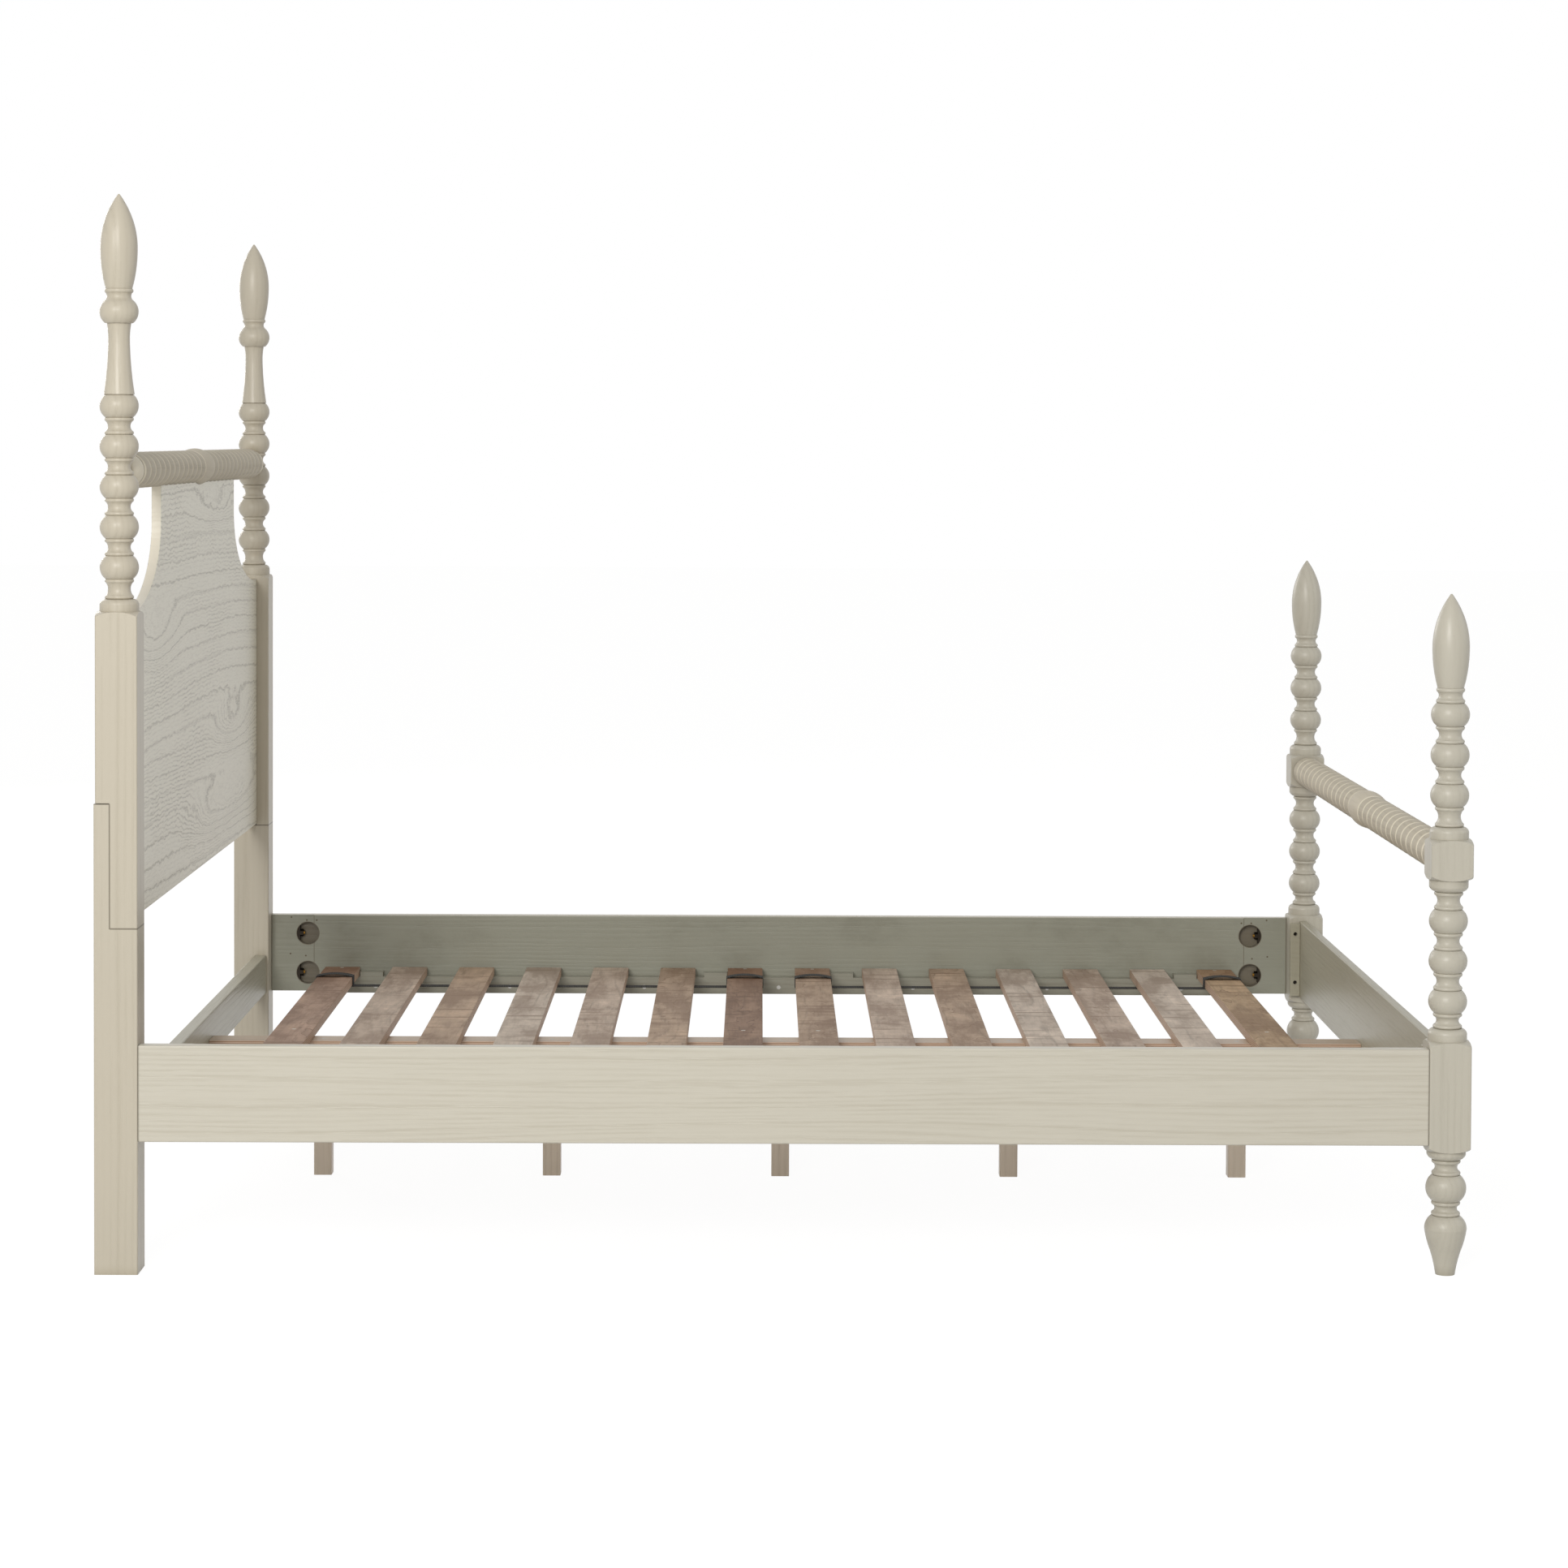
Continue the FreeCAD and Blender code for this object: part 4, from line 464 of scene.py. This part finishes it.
for way in (-1, 1):
    places = node(ribbed, "GeometryNodeMeshLine", {
        "Count": given["Ribs"], "Start Location": vector(ribbed, y=maths(ribbed, "MULTIPLY", first, way)),
        "Offset": vector(ribbed, y=maths(ribbed, "MULTIPLY", given["Rib Pitch"], way))}, mode="OFFSET")
    runs.append(repeated(ribbed, rib, places.outputs[0]))
barrel = form(ribbed, Length=maths(ribbed, "MULTIPLY", given["Barrel Half"], 2.0), End_Radius=RIB_ROOT,
              Edge_Radius=BARREL_EDGE, Lip=BARREL_LIP, Swell=BARREL_SWELL, Rows=BARREL_ROWS)
ball_whole = maths(ribbed, "ADD", given["Ball Long"], BALL_INSIDE)
ball_at = maths(ribbed, "SUBTRACT", given["Rail Half"], maths(ribbed, "MULTIPLY", ball_whole, 0.5))
spigot_at = maths(ribbed, "ADD", given["Rail Half"], SPIGOT_LONG / 2)
ends = []
for way in (-1, 1):
    ball = form(ribbed, Length=ball_whole, End_Radius=BALL_END, Edge_Radius=given["Ball Radius"],
                Lip=maths(ribbed, "MULTIPLY", ball_whole, 0.5), Rows=BALL_ROWS)
    spigot = form(ribbed, Length=SPIGOT_LONG, End_Radius=SPIGOT_RADIUS, Edge_Radius=SPIGOT_RADIUS,
                  Rows=SPIGOT_ROWS)
    for shape, middle in ((ball, ball_at), (spigot, spigot_at)):
        shift = vector(ribbed, y=maths(ribbed, "MULTIPLY", middle, way))
        ends.append(moved(ribbed, shape, Translation=shift))
whole = moved(ribbed, joined(ribbed, barrel, *runs, *ends), Translation=given["Place"])
closing(ribbed, whole, given["Paint"], made[0])

GROOVE_REACH, GROOVE_PAINTED_SHADE = 0.006, 1.6


def pale_barrel_and_painted_light_and_shade(tree, place):
    """The barrel painted paler, a painted highlight on the end balls and on the lips of the ribs, and
    painted shade in the grooves.
    """
    facing = node(tree, "ShaderNodeNewGeometry").outputs["Normal"]
    along = maths(tree, "ABSOLUTE", axes(tree, facing)[1])
    x, y, _ = axes(tree, place)
    on_barrel = band(tree, y, 0.0, BARREL_HALF, 0.001)
    ball_painted_light = maths(tree, "MULTIPLY", maths(tree, "LESS_THAN", x, 0.0),
                    maths(tree, "GREATER_THAN", maths(tree, "ABSOLUTE", y), HEAD_RAIL_HALF - BALL_LONG))
    closed_in = placed(tree, shade_in_hollows, {"Reach": GROOVE_REACH})["Painted Shade"]
    groove = maths(tree, "MULTIPLY", closed_in, GROOVE_PAINTED_SHADE, clamp=True)
    # painted highlight on the end balls and on lips facing along the rail, painted shade in the grooves;
    # the barrel is only paler
    return [(maths(tree, "MULTIPLY", on_barrel, 0.5), srgb(222, 213, 194)),
            (ball_painted_light, srgb(238, 230, 210)),
            (ramp(tree, along, 0.12, 0.5), srgb(242, 234, 215)),
            (groove, srgb(104, 93, 77))]


# the marks paint the barrel paler, paint a highlight on the head rail's end balls and on the rib lips, and
# paint shade in the grooves
rib_paint = painted_wood("ribbed_rail_paint", srgb(197, 188, 169), srgb(148, 137, 118), rise=(55, 0, 55),
                         drift=(9, 1.2, 9), swirl=3.0, pores=(420, 14, 420), strength=0.25, hollow_shade=0.35,
                         rough=0.55, gloss=0.18, marks=pale_barrel_and_painted_light_and_shade)
# each rail: its end of the bed, the ribs at each side of its barrel, and its balls' length and radius
RAILS = (("head", 13, BALL_LONG, BALL_SIDE), ("foot", 14, 0.0, BALL_END))
for name, count, ball_long, ball_radius in RAILS:
    low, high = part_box(f"{name}_top_rail")
    rail_half = high[1] - SPIGOT_LONG
    rail = grown(f"{name}_ribbed_rail", ribbed, Ribs=count, Ball_Long=ball_long, Ball_Radius=ball_radius,
                 Rail_Half=rail_half, Rib_Pitch=(rail_half - BARREL_HALF - ball_long) / count,
                 Place=((low[0] + high[0]) / 2, 0.0, (low[2] + high[2]) / 2), Paint=rib_paint)
    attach(rail, "root")
    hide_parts(f"{name}_top_rail")

# The headboard panel: a wide board faced with crown-cut oak, its cathedral figure running across
# the bed and standing out in grey through a thin cool paint, its cut edge plain and cream.

EDGE_SKIN = 0.0004
VENEER_RISE, VENEER_SLOPE = 124, 0.018
VENEER_JAG, EYE_FRAY = 2.2, 0.35
# each eye: its place across the bed and its height, half its length and height, lines it holds
VENEER_EYES = ((-0.46, 1.000, 0.34, 0.075, 7.0), (0.40, 0.790, 0.36, 0.075, 7.0),
               (0.38, 0.640, 0.74, 0.075, 10.0), (0.20, 1.200, 0.45, 0.050, 4.0),
               (-0.90, 0.830, 0.50, 0.080, 4.0))
panel_low, panel_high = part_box("head_panel")
CREAM_EDGE = srgb(252, 245, 228)


def cream_edge(tree, place):
    """The cut edge: all that lies between the panel's two faces."""
    x = axes(tree, place)[0]
    middle, half = (panel_low[0] + panel_high[0]) / 2, (panel_high[0] - panel_low[0]) / 2
    return [(band(tree, x, middle, half - 2 * EDGE_SKIN, EDGE_SKIN), CREAM_EDGE)]


def veneer_eyes(tree, place):
    """Hills of the grain field, one for each eye of the figure, with ragged outlines."""
    _, y, z = axes(tree, place)
    ragged = noise(tree, stretched(tree, place, (1, 4, 14)), detail=3.0)
    jagged = noise(tree, stretched(tree, place, (1, 22, 46)), detail=3.0, rough=0.6)
    frayed = maths(tree, "MULTIPLY", maths(tree, "SUBTRACT", ragged, 0.5), EYE_FRAY)
    total = maths(tree, "MULTIPLY", jagged, VENEER_JAG)
    for across, height, half_long, half_tall, lines in VENEER_EYES:
        along = maths(tree, "SUBTRACT", y, across)
        level = maths(tree, "ADD", maths(tree, "SUBTRACT", z, height),
                      maths(tree, "MULTIPLY", along, VENEER_SLOPE))
        oval = node(tree, "ShaderNodeCombineXYZ", {0: maths(tree, "DIVIDE", along, half_long),
                                                   1: maths(tree, "DIVIDE", level, half_tall)}).outputs[0]
        far = node(tree, "ShaderNodeVectorMath", {0: oval}, operation="LENGTH").outputs["Value"]
        hill = ramp(tree, maths(tree, "ADD", far, frayed), 1.0, 0.0)
        total = maths(tree, "ADD", total, maths(tree, "MULTIPLY", hill, lines))
    return total


panel_paint = painted_wood("panel_paint", srgb(236, 232, 215), srgb(146, 138, 120),
                           rise=(0, VENEER_RISE * VENEER_SLOPE, VENEER_RISE), drift=(1.0, 0.8, 3.0),
                           swirl=11.0, pores=(300, 40, 620), strength=0.55, width=0.26, relief=0.0004,
                           marks=cream_edge, eyes=veneer_eyes)
finish(panel_paint, "head_panel")

# Side rails, end rails and cleats: planed oak planks with a straight, gently waving grain. The
# inside of the long rails is darker and greyer, over the end blocks too, with painted shade in
# the bolt pockets and the fixing pins of the blocks stopped with filler.

rail_low, rail_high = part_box("side_rail_left")
block_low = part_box("end_block_foot_left")[0]
RAIL_MIDDLE = (rail_low[0] + rail_high[0]) / 2
RAIL_INSIDE = rail_low[1]
RAIL_END = rail_high[0] - RAIL_MIDDLE
BLOCK_SEAM = block_low[0] - RAIL_MIDDLE
INSIDE_PAINT, INSIDE_LINE = srgb(153, 153, 139), srgb(118, 116, 102)
POCKET_PAINTED_SHADE, PIN_FILLER = srgb(118, 110, 94), srgb(96, 84, 66)
POCKET_FROM_END, POCKET_RADIUS, POCKET_DEEP = 0.0733, 0.0233, 0.0165
POCKET_HEIGHTS = (0.24925, 0.32875)
PINS = ((0.038, 0.287), (0.069, 0.283), (0.071, 0.355), (0.091, 0.355), (0.040, 0.361))
PIN_RADIUS, PIN_SOFT = 0.0014, 0.0006
SKIN_NEAR, SKIN_FAR = 0.0004, 0.0010
JOINT_NEAR, JOINT_FAR = 0.0010, 0.0022


def inside_of_rail(tree, place):
    """The darker, streaked inner face, the block's seam and pins, and painted shade in the bolt pockets."""
    x, y, z = axes(tree, place)
    out = maths(tree, "ABSOLUTE", maths(tree, "SUBTRACT", x, RAIL_MIDDLE))
    inner = ramp(tree, maths(tree, "ABSOLUTE", y), RAIL_INSIDE + SKIN_FAR, RAIL_INSIDE + SKIN_NEAR)

    def round_spot(from_end, height, radius):
        across = maths(tree, "SUBTRACT", out, RAIL_END - from_end)
        up = maths(tree, "SUBTRACT", z, height)
        far = maths(tree, "SQRT", maths(tree, "ADD", maths(tree, "MULTIPLY", across, across),
                                        maths(tree, "MULTIPLY", up, up)))
        return ramp(tree, far, radius + PIN_SOFT, radius)

    streak = noise(tree, stretched(tree, place, (5, 1, 9)), detail=6.0, rough=0.65)
    coat = blended(tree, ramp(tree, streak, 0.35, 0.7), INSIDE_PAINT, INSIDE_LINE)
    inner_streak_share = maths(tree, "MULTIPLY", inner, 0.4)
    # the inner face darker and greyer, part of it streaked
    yield inner, INSIDE_PAINT
    yield maths(tree, "MULTIPLY", ramp(tree, streak, 0.4, 0.75), inner_streak_share), coat
    seam = maths(tree, "MULTIPLY", band(tree, out, BLOCK_SEAM, 0.0004, 0.0007), inner)
    yield maths(tree, "MULTIPLY", seam, 0.75), SEAM_SHADE
    # painted shade in the bolt pockets: their walls and floors darker than the inner face
    floor_depth = RAIL_INSIDE + POCKET_DEEP
    deep = ramp(tree, maths(tree, "ABSOLUTE", y), floor_depth + SKIN_FAR, floor_depth)
    for height in POCKET_HEIGHTS:
        hole = round_spot(POCKET_FROM_END, height, POCKET_RADIUS)
        yield maths(tree, "MULTIPLY", hole, deep), POCKET_PAINTED_SHADE
    dots = 0.0
    for from_end, height in PINS:
        dots = maths(tree, "MAXIMUM", dots, round_spot(from_end, height, PIN_RADIUS))
    yield maths(tree, "MULTIPLY", dots, inner), PIN_FILLER
    joint = ramp(tree, out, RAIL_END - JOINT_FAR, RAIL_END - JOINT_NEAR)
    yield maths(tree, "MULTIPLY", joint, 0.55), SEAM_SHADE


ALONG_THE_RAIL = {"rise": (0, 20, 110), "drift": (1.1, 8, 14), "swirl": 5.0, "pores": (16, 480, 480)}
rail_paint = painted_wood("rail_paint", srgb(207, 202, 188), srgb(176, 168, 150), strength=0.3, width=0.4,
                          marks=inside_of_rail, **ALONG_THE_RAIL)
finish(rail_paint, "side_rail", "end_block")
end_paint = painted_wood("end_paint", srgb(170, 165, 146), srgb(142, 135, 117), rise=(20, 0, 110),
                         drift=(8, 1.1, 14), swirl=5.0, pores=(480, 16, 480), strength=0.2)
finish(end_paint, "foot_end_rail", "head_cross_rail", "foot_cleat")
batten_paint = painted_wood("batten_paint", srgb(150, 148, 134), srgb(116, 110, 94), strength=0.35,
                            **ALONG_THE_RAIL)
finish(batten_paint, "slat_ledge", "slat_stops", "beam_seat")

# The slats: strips of sealed rotary-cut plywood, no two alike, each with its own veneer figure
# and darker blotches. Their long edges show the plies, and some ends are stained redder.

PLY_THICK, PLY_WOBBLE = 0.0017, 0.0004
PLY_LIGHT, PLY_DARK = srgb(206, 180, 158), srgb(160, 128, 104)
SLAT_TONES = {"red": srgb(176, 147, 127), "umber": srgb(150, 122, 101), "amber": srgb(184, 157, 126),
              "grey": srgb(197, 178, 161), "brown": srgb(181, 157, 135), "pale": srgb(202, 187, 172)}
SLAT_ORDER = ("red", "grey", "brown", "pale", "grey", "brown", "umber",
              "brown", "grey", "brown", "pale", "grey", "pale", "amber")
BLOTCHED = (1, 6, 7, 8, 10, 12, 14)
TIED_SLATS = (1, 7, 8, 14)
END_STAIN = srgb(128, 92, 68)
SLAT_SHIFT = Vector((3.7, 1.3, 0))

# the plies along a board's upright edges, seen where its surface faces sideways
plies, given, made = shared_group(
    "plied_edge", {"Vector": ("VECTOR", (0, 0, 0)), "Ply": ("FLOAT", PLY_THICK),
                   "Light": ("COLOUR", PLY_LIGHT), "Dark": ("COLOUR", PLY_DARK)},
    {"Mask": "FLOAT", "Colour": "COLOUR"})
level = maths(plies, "ABSOLUTE", axes(plies, node(plies, "ShaderNodeNewGeometry").outputs["Normal"])[2])
wobble = maths(plies, "MULTIPLY", noise(plies, given["Vector"], scale=40.0), PLY_WOBBLE)
height = maths(plies, "ADD", axes(plies, given["Vector"])[2], wobble)
ply = maths(plies, "PINGPONG", maths(plies, "DIVIDE", height, given["Ply"]), 1.0)
plies.links.new(maths(plies, "LESS_THAN", level, 0.5), made.inputs["Mask"])
plies.links.new(blended(plies, ramp(plies, ply, 0.35, 0.65), given["Light"], given["Dark"]),
                made.inputs["Colour"])

# a slat's veneer: dark and light mottling, bands across it, blotches with a rim, and stained ends
figure, given, made = shared_group(
    "slat_figure", {"Vector": ("VECTOR", (0, 0, 0)), "Shift": ("VECTOR", (0, 0, 0))},
    {"Dark": "FLOAT", "Light": "FLOAT", "Bands": "FLOAT", "Blotches": "FLOAT", "Rims": "FLOAT",
     "Ends": "FLOAT"})
own = node(figure, "ShaderNodeVectorMath", {0: given["Vector"], 1: given["Shift"]}).outputs[0]
mottle = noise(figure, stretched(figure, own, (14, 5, 1)), detail=5.0, rough=0.65)
crossing = noise(figure, stretched(figure, own, (5, 46, 1)), detail=3.0, rough=0.6)
blotch = noise(figure, stretched(figure, own, (15, 9, 1)), detail=2.5, rough=0.5)
from_middle = maths(figure, "ABSOLUTE", axes(figure, given["Vector"])[1])
for socket, mask in (("Dark", ramp(figure, mottle, 0.44, 0.62)),
                     ("Light", ramp(figure, mottle, 0.46, 0.3)),
                     ("Bands", ramp(figure, crossing, 0.55, 0.68)),
                     ("Blotches", ramp(figure, blotch, 0.56, 0.585)),
                     ("Rims", band(figure, blotch, 0.572, 0.004, 0.008)),
                     ("Ends", ramp(figure, from_middle, 0.55, 0.72))):
    figure.links.new(mask, made.inputs[socket])


def slat_marks(number, paint):
    """What one slat shows of the figure, in its own shades, and its plied edges."""
    dark, light = shaded(paint, 0.50, 0.44, 0.40), shaded(paint, 1.35)
    shown = [("Dark", 0.7, dark), ("Light", 0.8, light), ("Bands", 0.75, dark)]
    if number in BLOTCHED:
        shown += [("Blotches", 0.3, dark), ("Rims", 0.75, dark)]
    if number in TIED_SLATS:
        shown.append(("Ends", 0.5, END_STAIN))

    def marks(tree, place):
        veneer = placed(tree, figure, {"Vector": place, "Shift": number * SLAT_SHIFT})
        for socket, share, tint in shown:
            yield maths(tree, "MULTIPLY", veneer[socket], share), tint
        edge = placed(tree, plies, {"Vector": place})
        yield maths(tree, "MULTIPLY", edge["Mask"], 0.8), edge["Colour"]
    return marks


for number, tone in enumerate(SLAT_ORDER, start=1):
    paint = SLAT_TONES[tone]
    veneer = painted_wood(f"slat_veneer_{number:02d}", paint, shaded(paint, 0.5),
                          rise=(30, 0, number), drift=(11, 2.2, number), swirl=5.0 + number % 3,
                          pores=(300, 18, 300), strength=0.55, width=0.2, rough=0.55, gloss=0.15,
                          marks=slat_marks(number, paint))
    finish(veneer, f"slat_{number:02d}")

# The centre beam: one length of bare plywood, set flat, its plies showing along both sides. It
# lies on a block screwed to each end rail and carries the slats in the middle of the bed.


def beam_edge(tree, place):
    edge = placed(tree, plies, {"Vector": place})
    return [(edge["Mask"], edge["Colour"])]


beam_ply = painted_wood("beam_ply", srgb(190, 170, 148), srgb(140, 114, 92), rise=(0, 60, 0),
                        drift=(1, 9, 2), swirl=3.0, pores=(18, 400, 400), strength=0.4, marks=beam_edge)
finish(beam_ply, "centre_beam")

# The centre legs: short square lengths of oak that stand on the floor under the beam, painted
# a little pinker than the posts, and paler than them as painted light against the shade of the rail.

lightened_leg_paint = painted_wood("centre_leg_lightened_paint", srgb(244, 230, 211), srgb(200, 184, 162), strength=0.25,
                         **UP_THE_POST)
finish(lightened_leg_paint, "centre_leg")

# Slat screws: pale zinc countersunk screws with a cross recess. The first and last slat of each
# roll has three of them, one into the beam and one near each end into the ledges.

# the fine speckle of worn metal
specks, given, made = shared_group(
    "metal_specks", {"Vector": ("VECTOR", (0, 0, 0)), "Fine": ("FLOAT", 260.0)}, {"Speck": "FLOAT"})
specks.links.new(noise(specks, given["Vector"], scale=given["Fine"]), made.inputs["Speck"])


def metal(name, colour, rough, metallic=1.0):
    """Worn metal, speckled between its colour and a duller one."""
    material, tree, place, shader = surface(name)
    speck = placed(tree, specks, {"Vector": place})["Speck"]
    tree.links.new(blended(tree, speck, colour, shaded(colour, 0.6)), shader.inputs["Base Color"])
    worn = node(tree, "ShaderNodeMapRange", {"Value": speck, "To Min": rough - 0.1, "To Max": rough + 0.15})
    tree.links.new(worn.outputs[0], shader.inputs["Roughness"])
    shader.inputs["Metallic"].default_value = metallic
    return material


HEAD_TALL, HEAD_RADIUS, HEAD_SIDES = 0.0026, 0.0040, 24
SHANK_LONG, SHANK_RADIUS, SHANK_SIDES = 0.034, 0.0020, 10
RECESS_WIDE, RECESS_LONG, RECESS_DEEP = 0.0009, 0.0040, 0.0012
screws, given, made = recipe("countersunk_screw", Head_Radius=HEAD_RADIUS, Head_Height=HEAD_TALL,
                             Shank_Radius=SHANK_RADIUS, Shank_Length=SHANK_LONG, Finish=rail_paint)
head = node(screws, "GeometryNodeMeshCone", {
    "Vertices": HEAD_SIDES, "Radius Top": given["Head Radius"], "Radius Bottom": given["Shank Radius"],
    "Depth": given["Head Height"]}).outputs[0]
head_foot = vector(screws, z=maths(screws, "MULTIPLY", given["Head Height"], -1.0))
cross = node(screws, "GeometryNodeMeshBoolean", {0: moved(screws, head, Translation=head_foot)},
             operation="DIFFERENCE")
for turn in (0.0, math.pi / 2):
    bar = node(screws, "GeometryNodeMeshCube", {0: (RECESS_LONG, RECESS_WIDE, 2 * RECESS_DEEP)}).outputs[0]
    screws.links.new(moved(screws, bar, Rotation=(0.0, 0.0, turn)), cross.inputs[1])
shank = node(screws, "GeometryNodeMeshCylinder", {
    "Vertices": SHANK_SIDES, "Radius": given["Shank Radius"],
    "Depth": maths(screws, "SUBTRACT", given["Shank Length"], given["Head Height"])}).outputs[0]
shank_middle = maths(screws, "ADD", given["Head Height"], given["Shank Length"])
shank_middle = vector(screws, z=maths(screws, "MULTIPLY", shank_middle, -0.5))
one_screw = joined(screws, cross.outputs[0], moved(screws, shank, Translation=shank_middle))
turned_by = node(screws, "FunctionNodeRandomValue", {"Min": (0, 0, 0), "Max": (0, 0, math.pi), "Seed": 7},
                 data_type="FLOAT_VECTOR").outputs[0]
screw_set = repeated(screws, one_screw, given["Geometry"], Rotation=turned_by)
closing(screws, screw_set, given["Finish"], made[0])

SCREW_FROM_END = 0.011
pale_zinc = metal("pale_zinc", srgb(222, 216, 204), 0.4, 0.35)
spots = []
for number in TIED_SLATS:
    low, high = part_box(f"slat_{number:02d}")
    reach = high[1] - SCREW_FROM_END
    spots += [((low[0] + high[0]) / 2, y, high[2]) for y in (-reach, 0.0, reach)]
slat_screws = grown("slat_screw_set", screws, spots, Head_Radius=HEAD_RADIUS, Head_Height=HEAD_TALL,
                    Shank_Radius=SHANK_RADIUS, Shank_Length=SHANK_LONG, Finish=pale_zinc)
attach(slat_screws, "root")
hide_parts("slat_screws")

# Bed bolts: brassed rods threaded from end to end, two at each corner, screwed into the post and
# run out through the end of the side rail into its round pockets.

THREAD_PITCH, THREAD_DEEP = 0.00125, 0.0006
THREAD_STEPS, THREAD_SIDES = 4, 16
thread, given, made = recipe("threaded_rod", Length=0.14, Radius=0.004, Pitch=THREAD_PITCH,
                             Depth=THREAD_DEEP, Steps_Per_Turn=THREAD_STEPS, Sides=THREAD_SIDES,
                             Finish=rail_paint)
turns = maths(thread, "DIVIDE", given["Length"], given["Pitch"])
rows = maths(thread, "CEIL", maths(thread, "MULTIPLY", turns, given["Steps Per Turn"]))
sheet = node(thread, "GeometryNodeMeshGrid", {
    "Size X": 1.0, "Size Y": 1.0, "Vertices X": maths(thread, "ADD", given["Sides"], 1),
    "Vertices Y": maths(thread, "ADD", rows, 3)})
across, along, _ = axes(thread, node(thread, "GeometryNodeInputPosition").outputs[0])
row = maths(thread, "MULTIPLY", maths(thread, "ADD", along, 0.5), maths(thread, "ADD", rows, 2))
spot = maths(thread, "DIVIDE", maths(thread, "SUBTRACT", row, 1.0), rows, clamp=True)
wound = maths(thread, "ADD", maths(thread, "MULTIPLY", spot, turns), across)
groove = maths(thread, "MULTIPLY", maths(thread, "PINGPONG", wound, 0.5), 2)
radius = maths(thread, "SUBTRACT", given["Radius"], maths(thread, "MULTIPLY", groove, given["Depth"]))
off_ends = maths(thread, "MULTIPLY", maths(thread, "GREATER_THAN", row, 0.5),
                 maths(thread, "LESS_THAN", row, maths(thread, "ADD", rows, 1.5)))
radius = maths(thread, "MULTIPLY", radius, off_ends)
angle = maths(thread, "MULTIPLY", across, 2 * math.pi)
rod = wrapped(thread, sheet.outputs[0],
              x=maths(thread, "MULTIPLY", maths(thread, "SUBTRACT", spot, 0.5), given["Length"]),
              y=maths(thread, "MULTIPLY", radius, maths(thread, "COSINE", angle)),
              z=maths(thread, "MULTIPLY", radius, maths(thread, "SINE", angle)))
closing(thread, repeated(thread, rod, given["Geometry"]), given["Finish"], made[0])

# the eight rods of the frame, told apart by the corner and the pocket that they are in
rods = {}
for corner in parts["bed_bolts"].data.vertices:
    which = (corner.co.x > 0, corner.co.y > 0, corner.co.z > sum(POCKET_HEIGHTS) / 2)
    rods.setdefault(which, []).append(corner.co)
middles = []
for which in sorted(rods):
    low = Vector(min(spot[axis] for spot in rods[which]) for axis in range(3))
    high = Vector(max(spot[axis] for spot in rods[which]) for axis in range(3))
    middles.append((low + high) / 2)
rod_size = high - low
bed_bolts = grown("threaded_bed_bolts", thread, middles, Length=rod_size.x, Radius=rod_size.z / 2,
                  Pitch=THREAD_PITCH, Depth=THREAD_DEEP, Steps_Per_Turn=THREAD_STEPS, Sides=THREAD_SIDES,
                  Finish=metal("dull_brass", srgb(196, 158, 84), 0.32))
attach(bed_bolts, "root")
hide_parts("bed_bolts")

# The rest of the hardware: black nuts on half-moon washers in the pockets, steel inserts in the
# posts, and zinc screws in the ledges and beam seats. The cleats' screws are blackened.

finish(metal("black_steel", srgb(58, 52, 46), 0.45), "bed_bolt_nuts", "bed_bolt_crescents")
finish(metal("zinc", srgb(190, 188, 182), 0.35), "bed_bolt_inserts", "lap_", "ledge_screws", "beam_screws")
finish(metal("black_screw", srgb(48, 44, 40), 0.5), "cleat_screws")

# The straps: flat black polypropylene webbing over the slats near their ends, woven in a fine
# herringbone that shows as ridges across the strap.

WEAVE_RIDGES = 420.0
webbing, tree, place, shader = surface("webbing")
across, along, _ = axes(tree, place)
slant = maths(tree, "PINGPONG", maths(tree, "MULTIPLY", along, WEAVE_RIDGES), 1.0)
ridge = maths(tree, "ADD", maths(tree, "MULTIPLY", across, WEAVE_RIDGES), slant)
weave = maths(tree, "PINGPONG", ridge, 1.0)
tree.links.new(blended(tree, weave, srgb(26, 25, 24), srgb(56, 54, 51)), shader.inputs["Base Color"])
shader.inputs["Roughness"].default_value = 0.82
ridges = node(tree, "ShaderNodeBump", {"Height": weave, "Distance": 0.0004, "Strength": 0.8})
tree.links.new(ridges.outputs[0], shader.inputs["Normal"])
finish(webbing, "slat_strap")
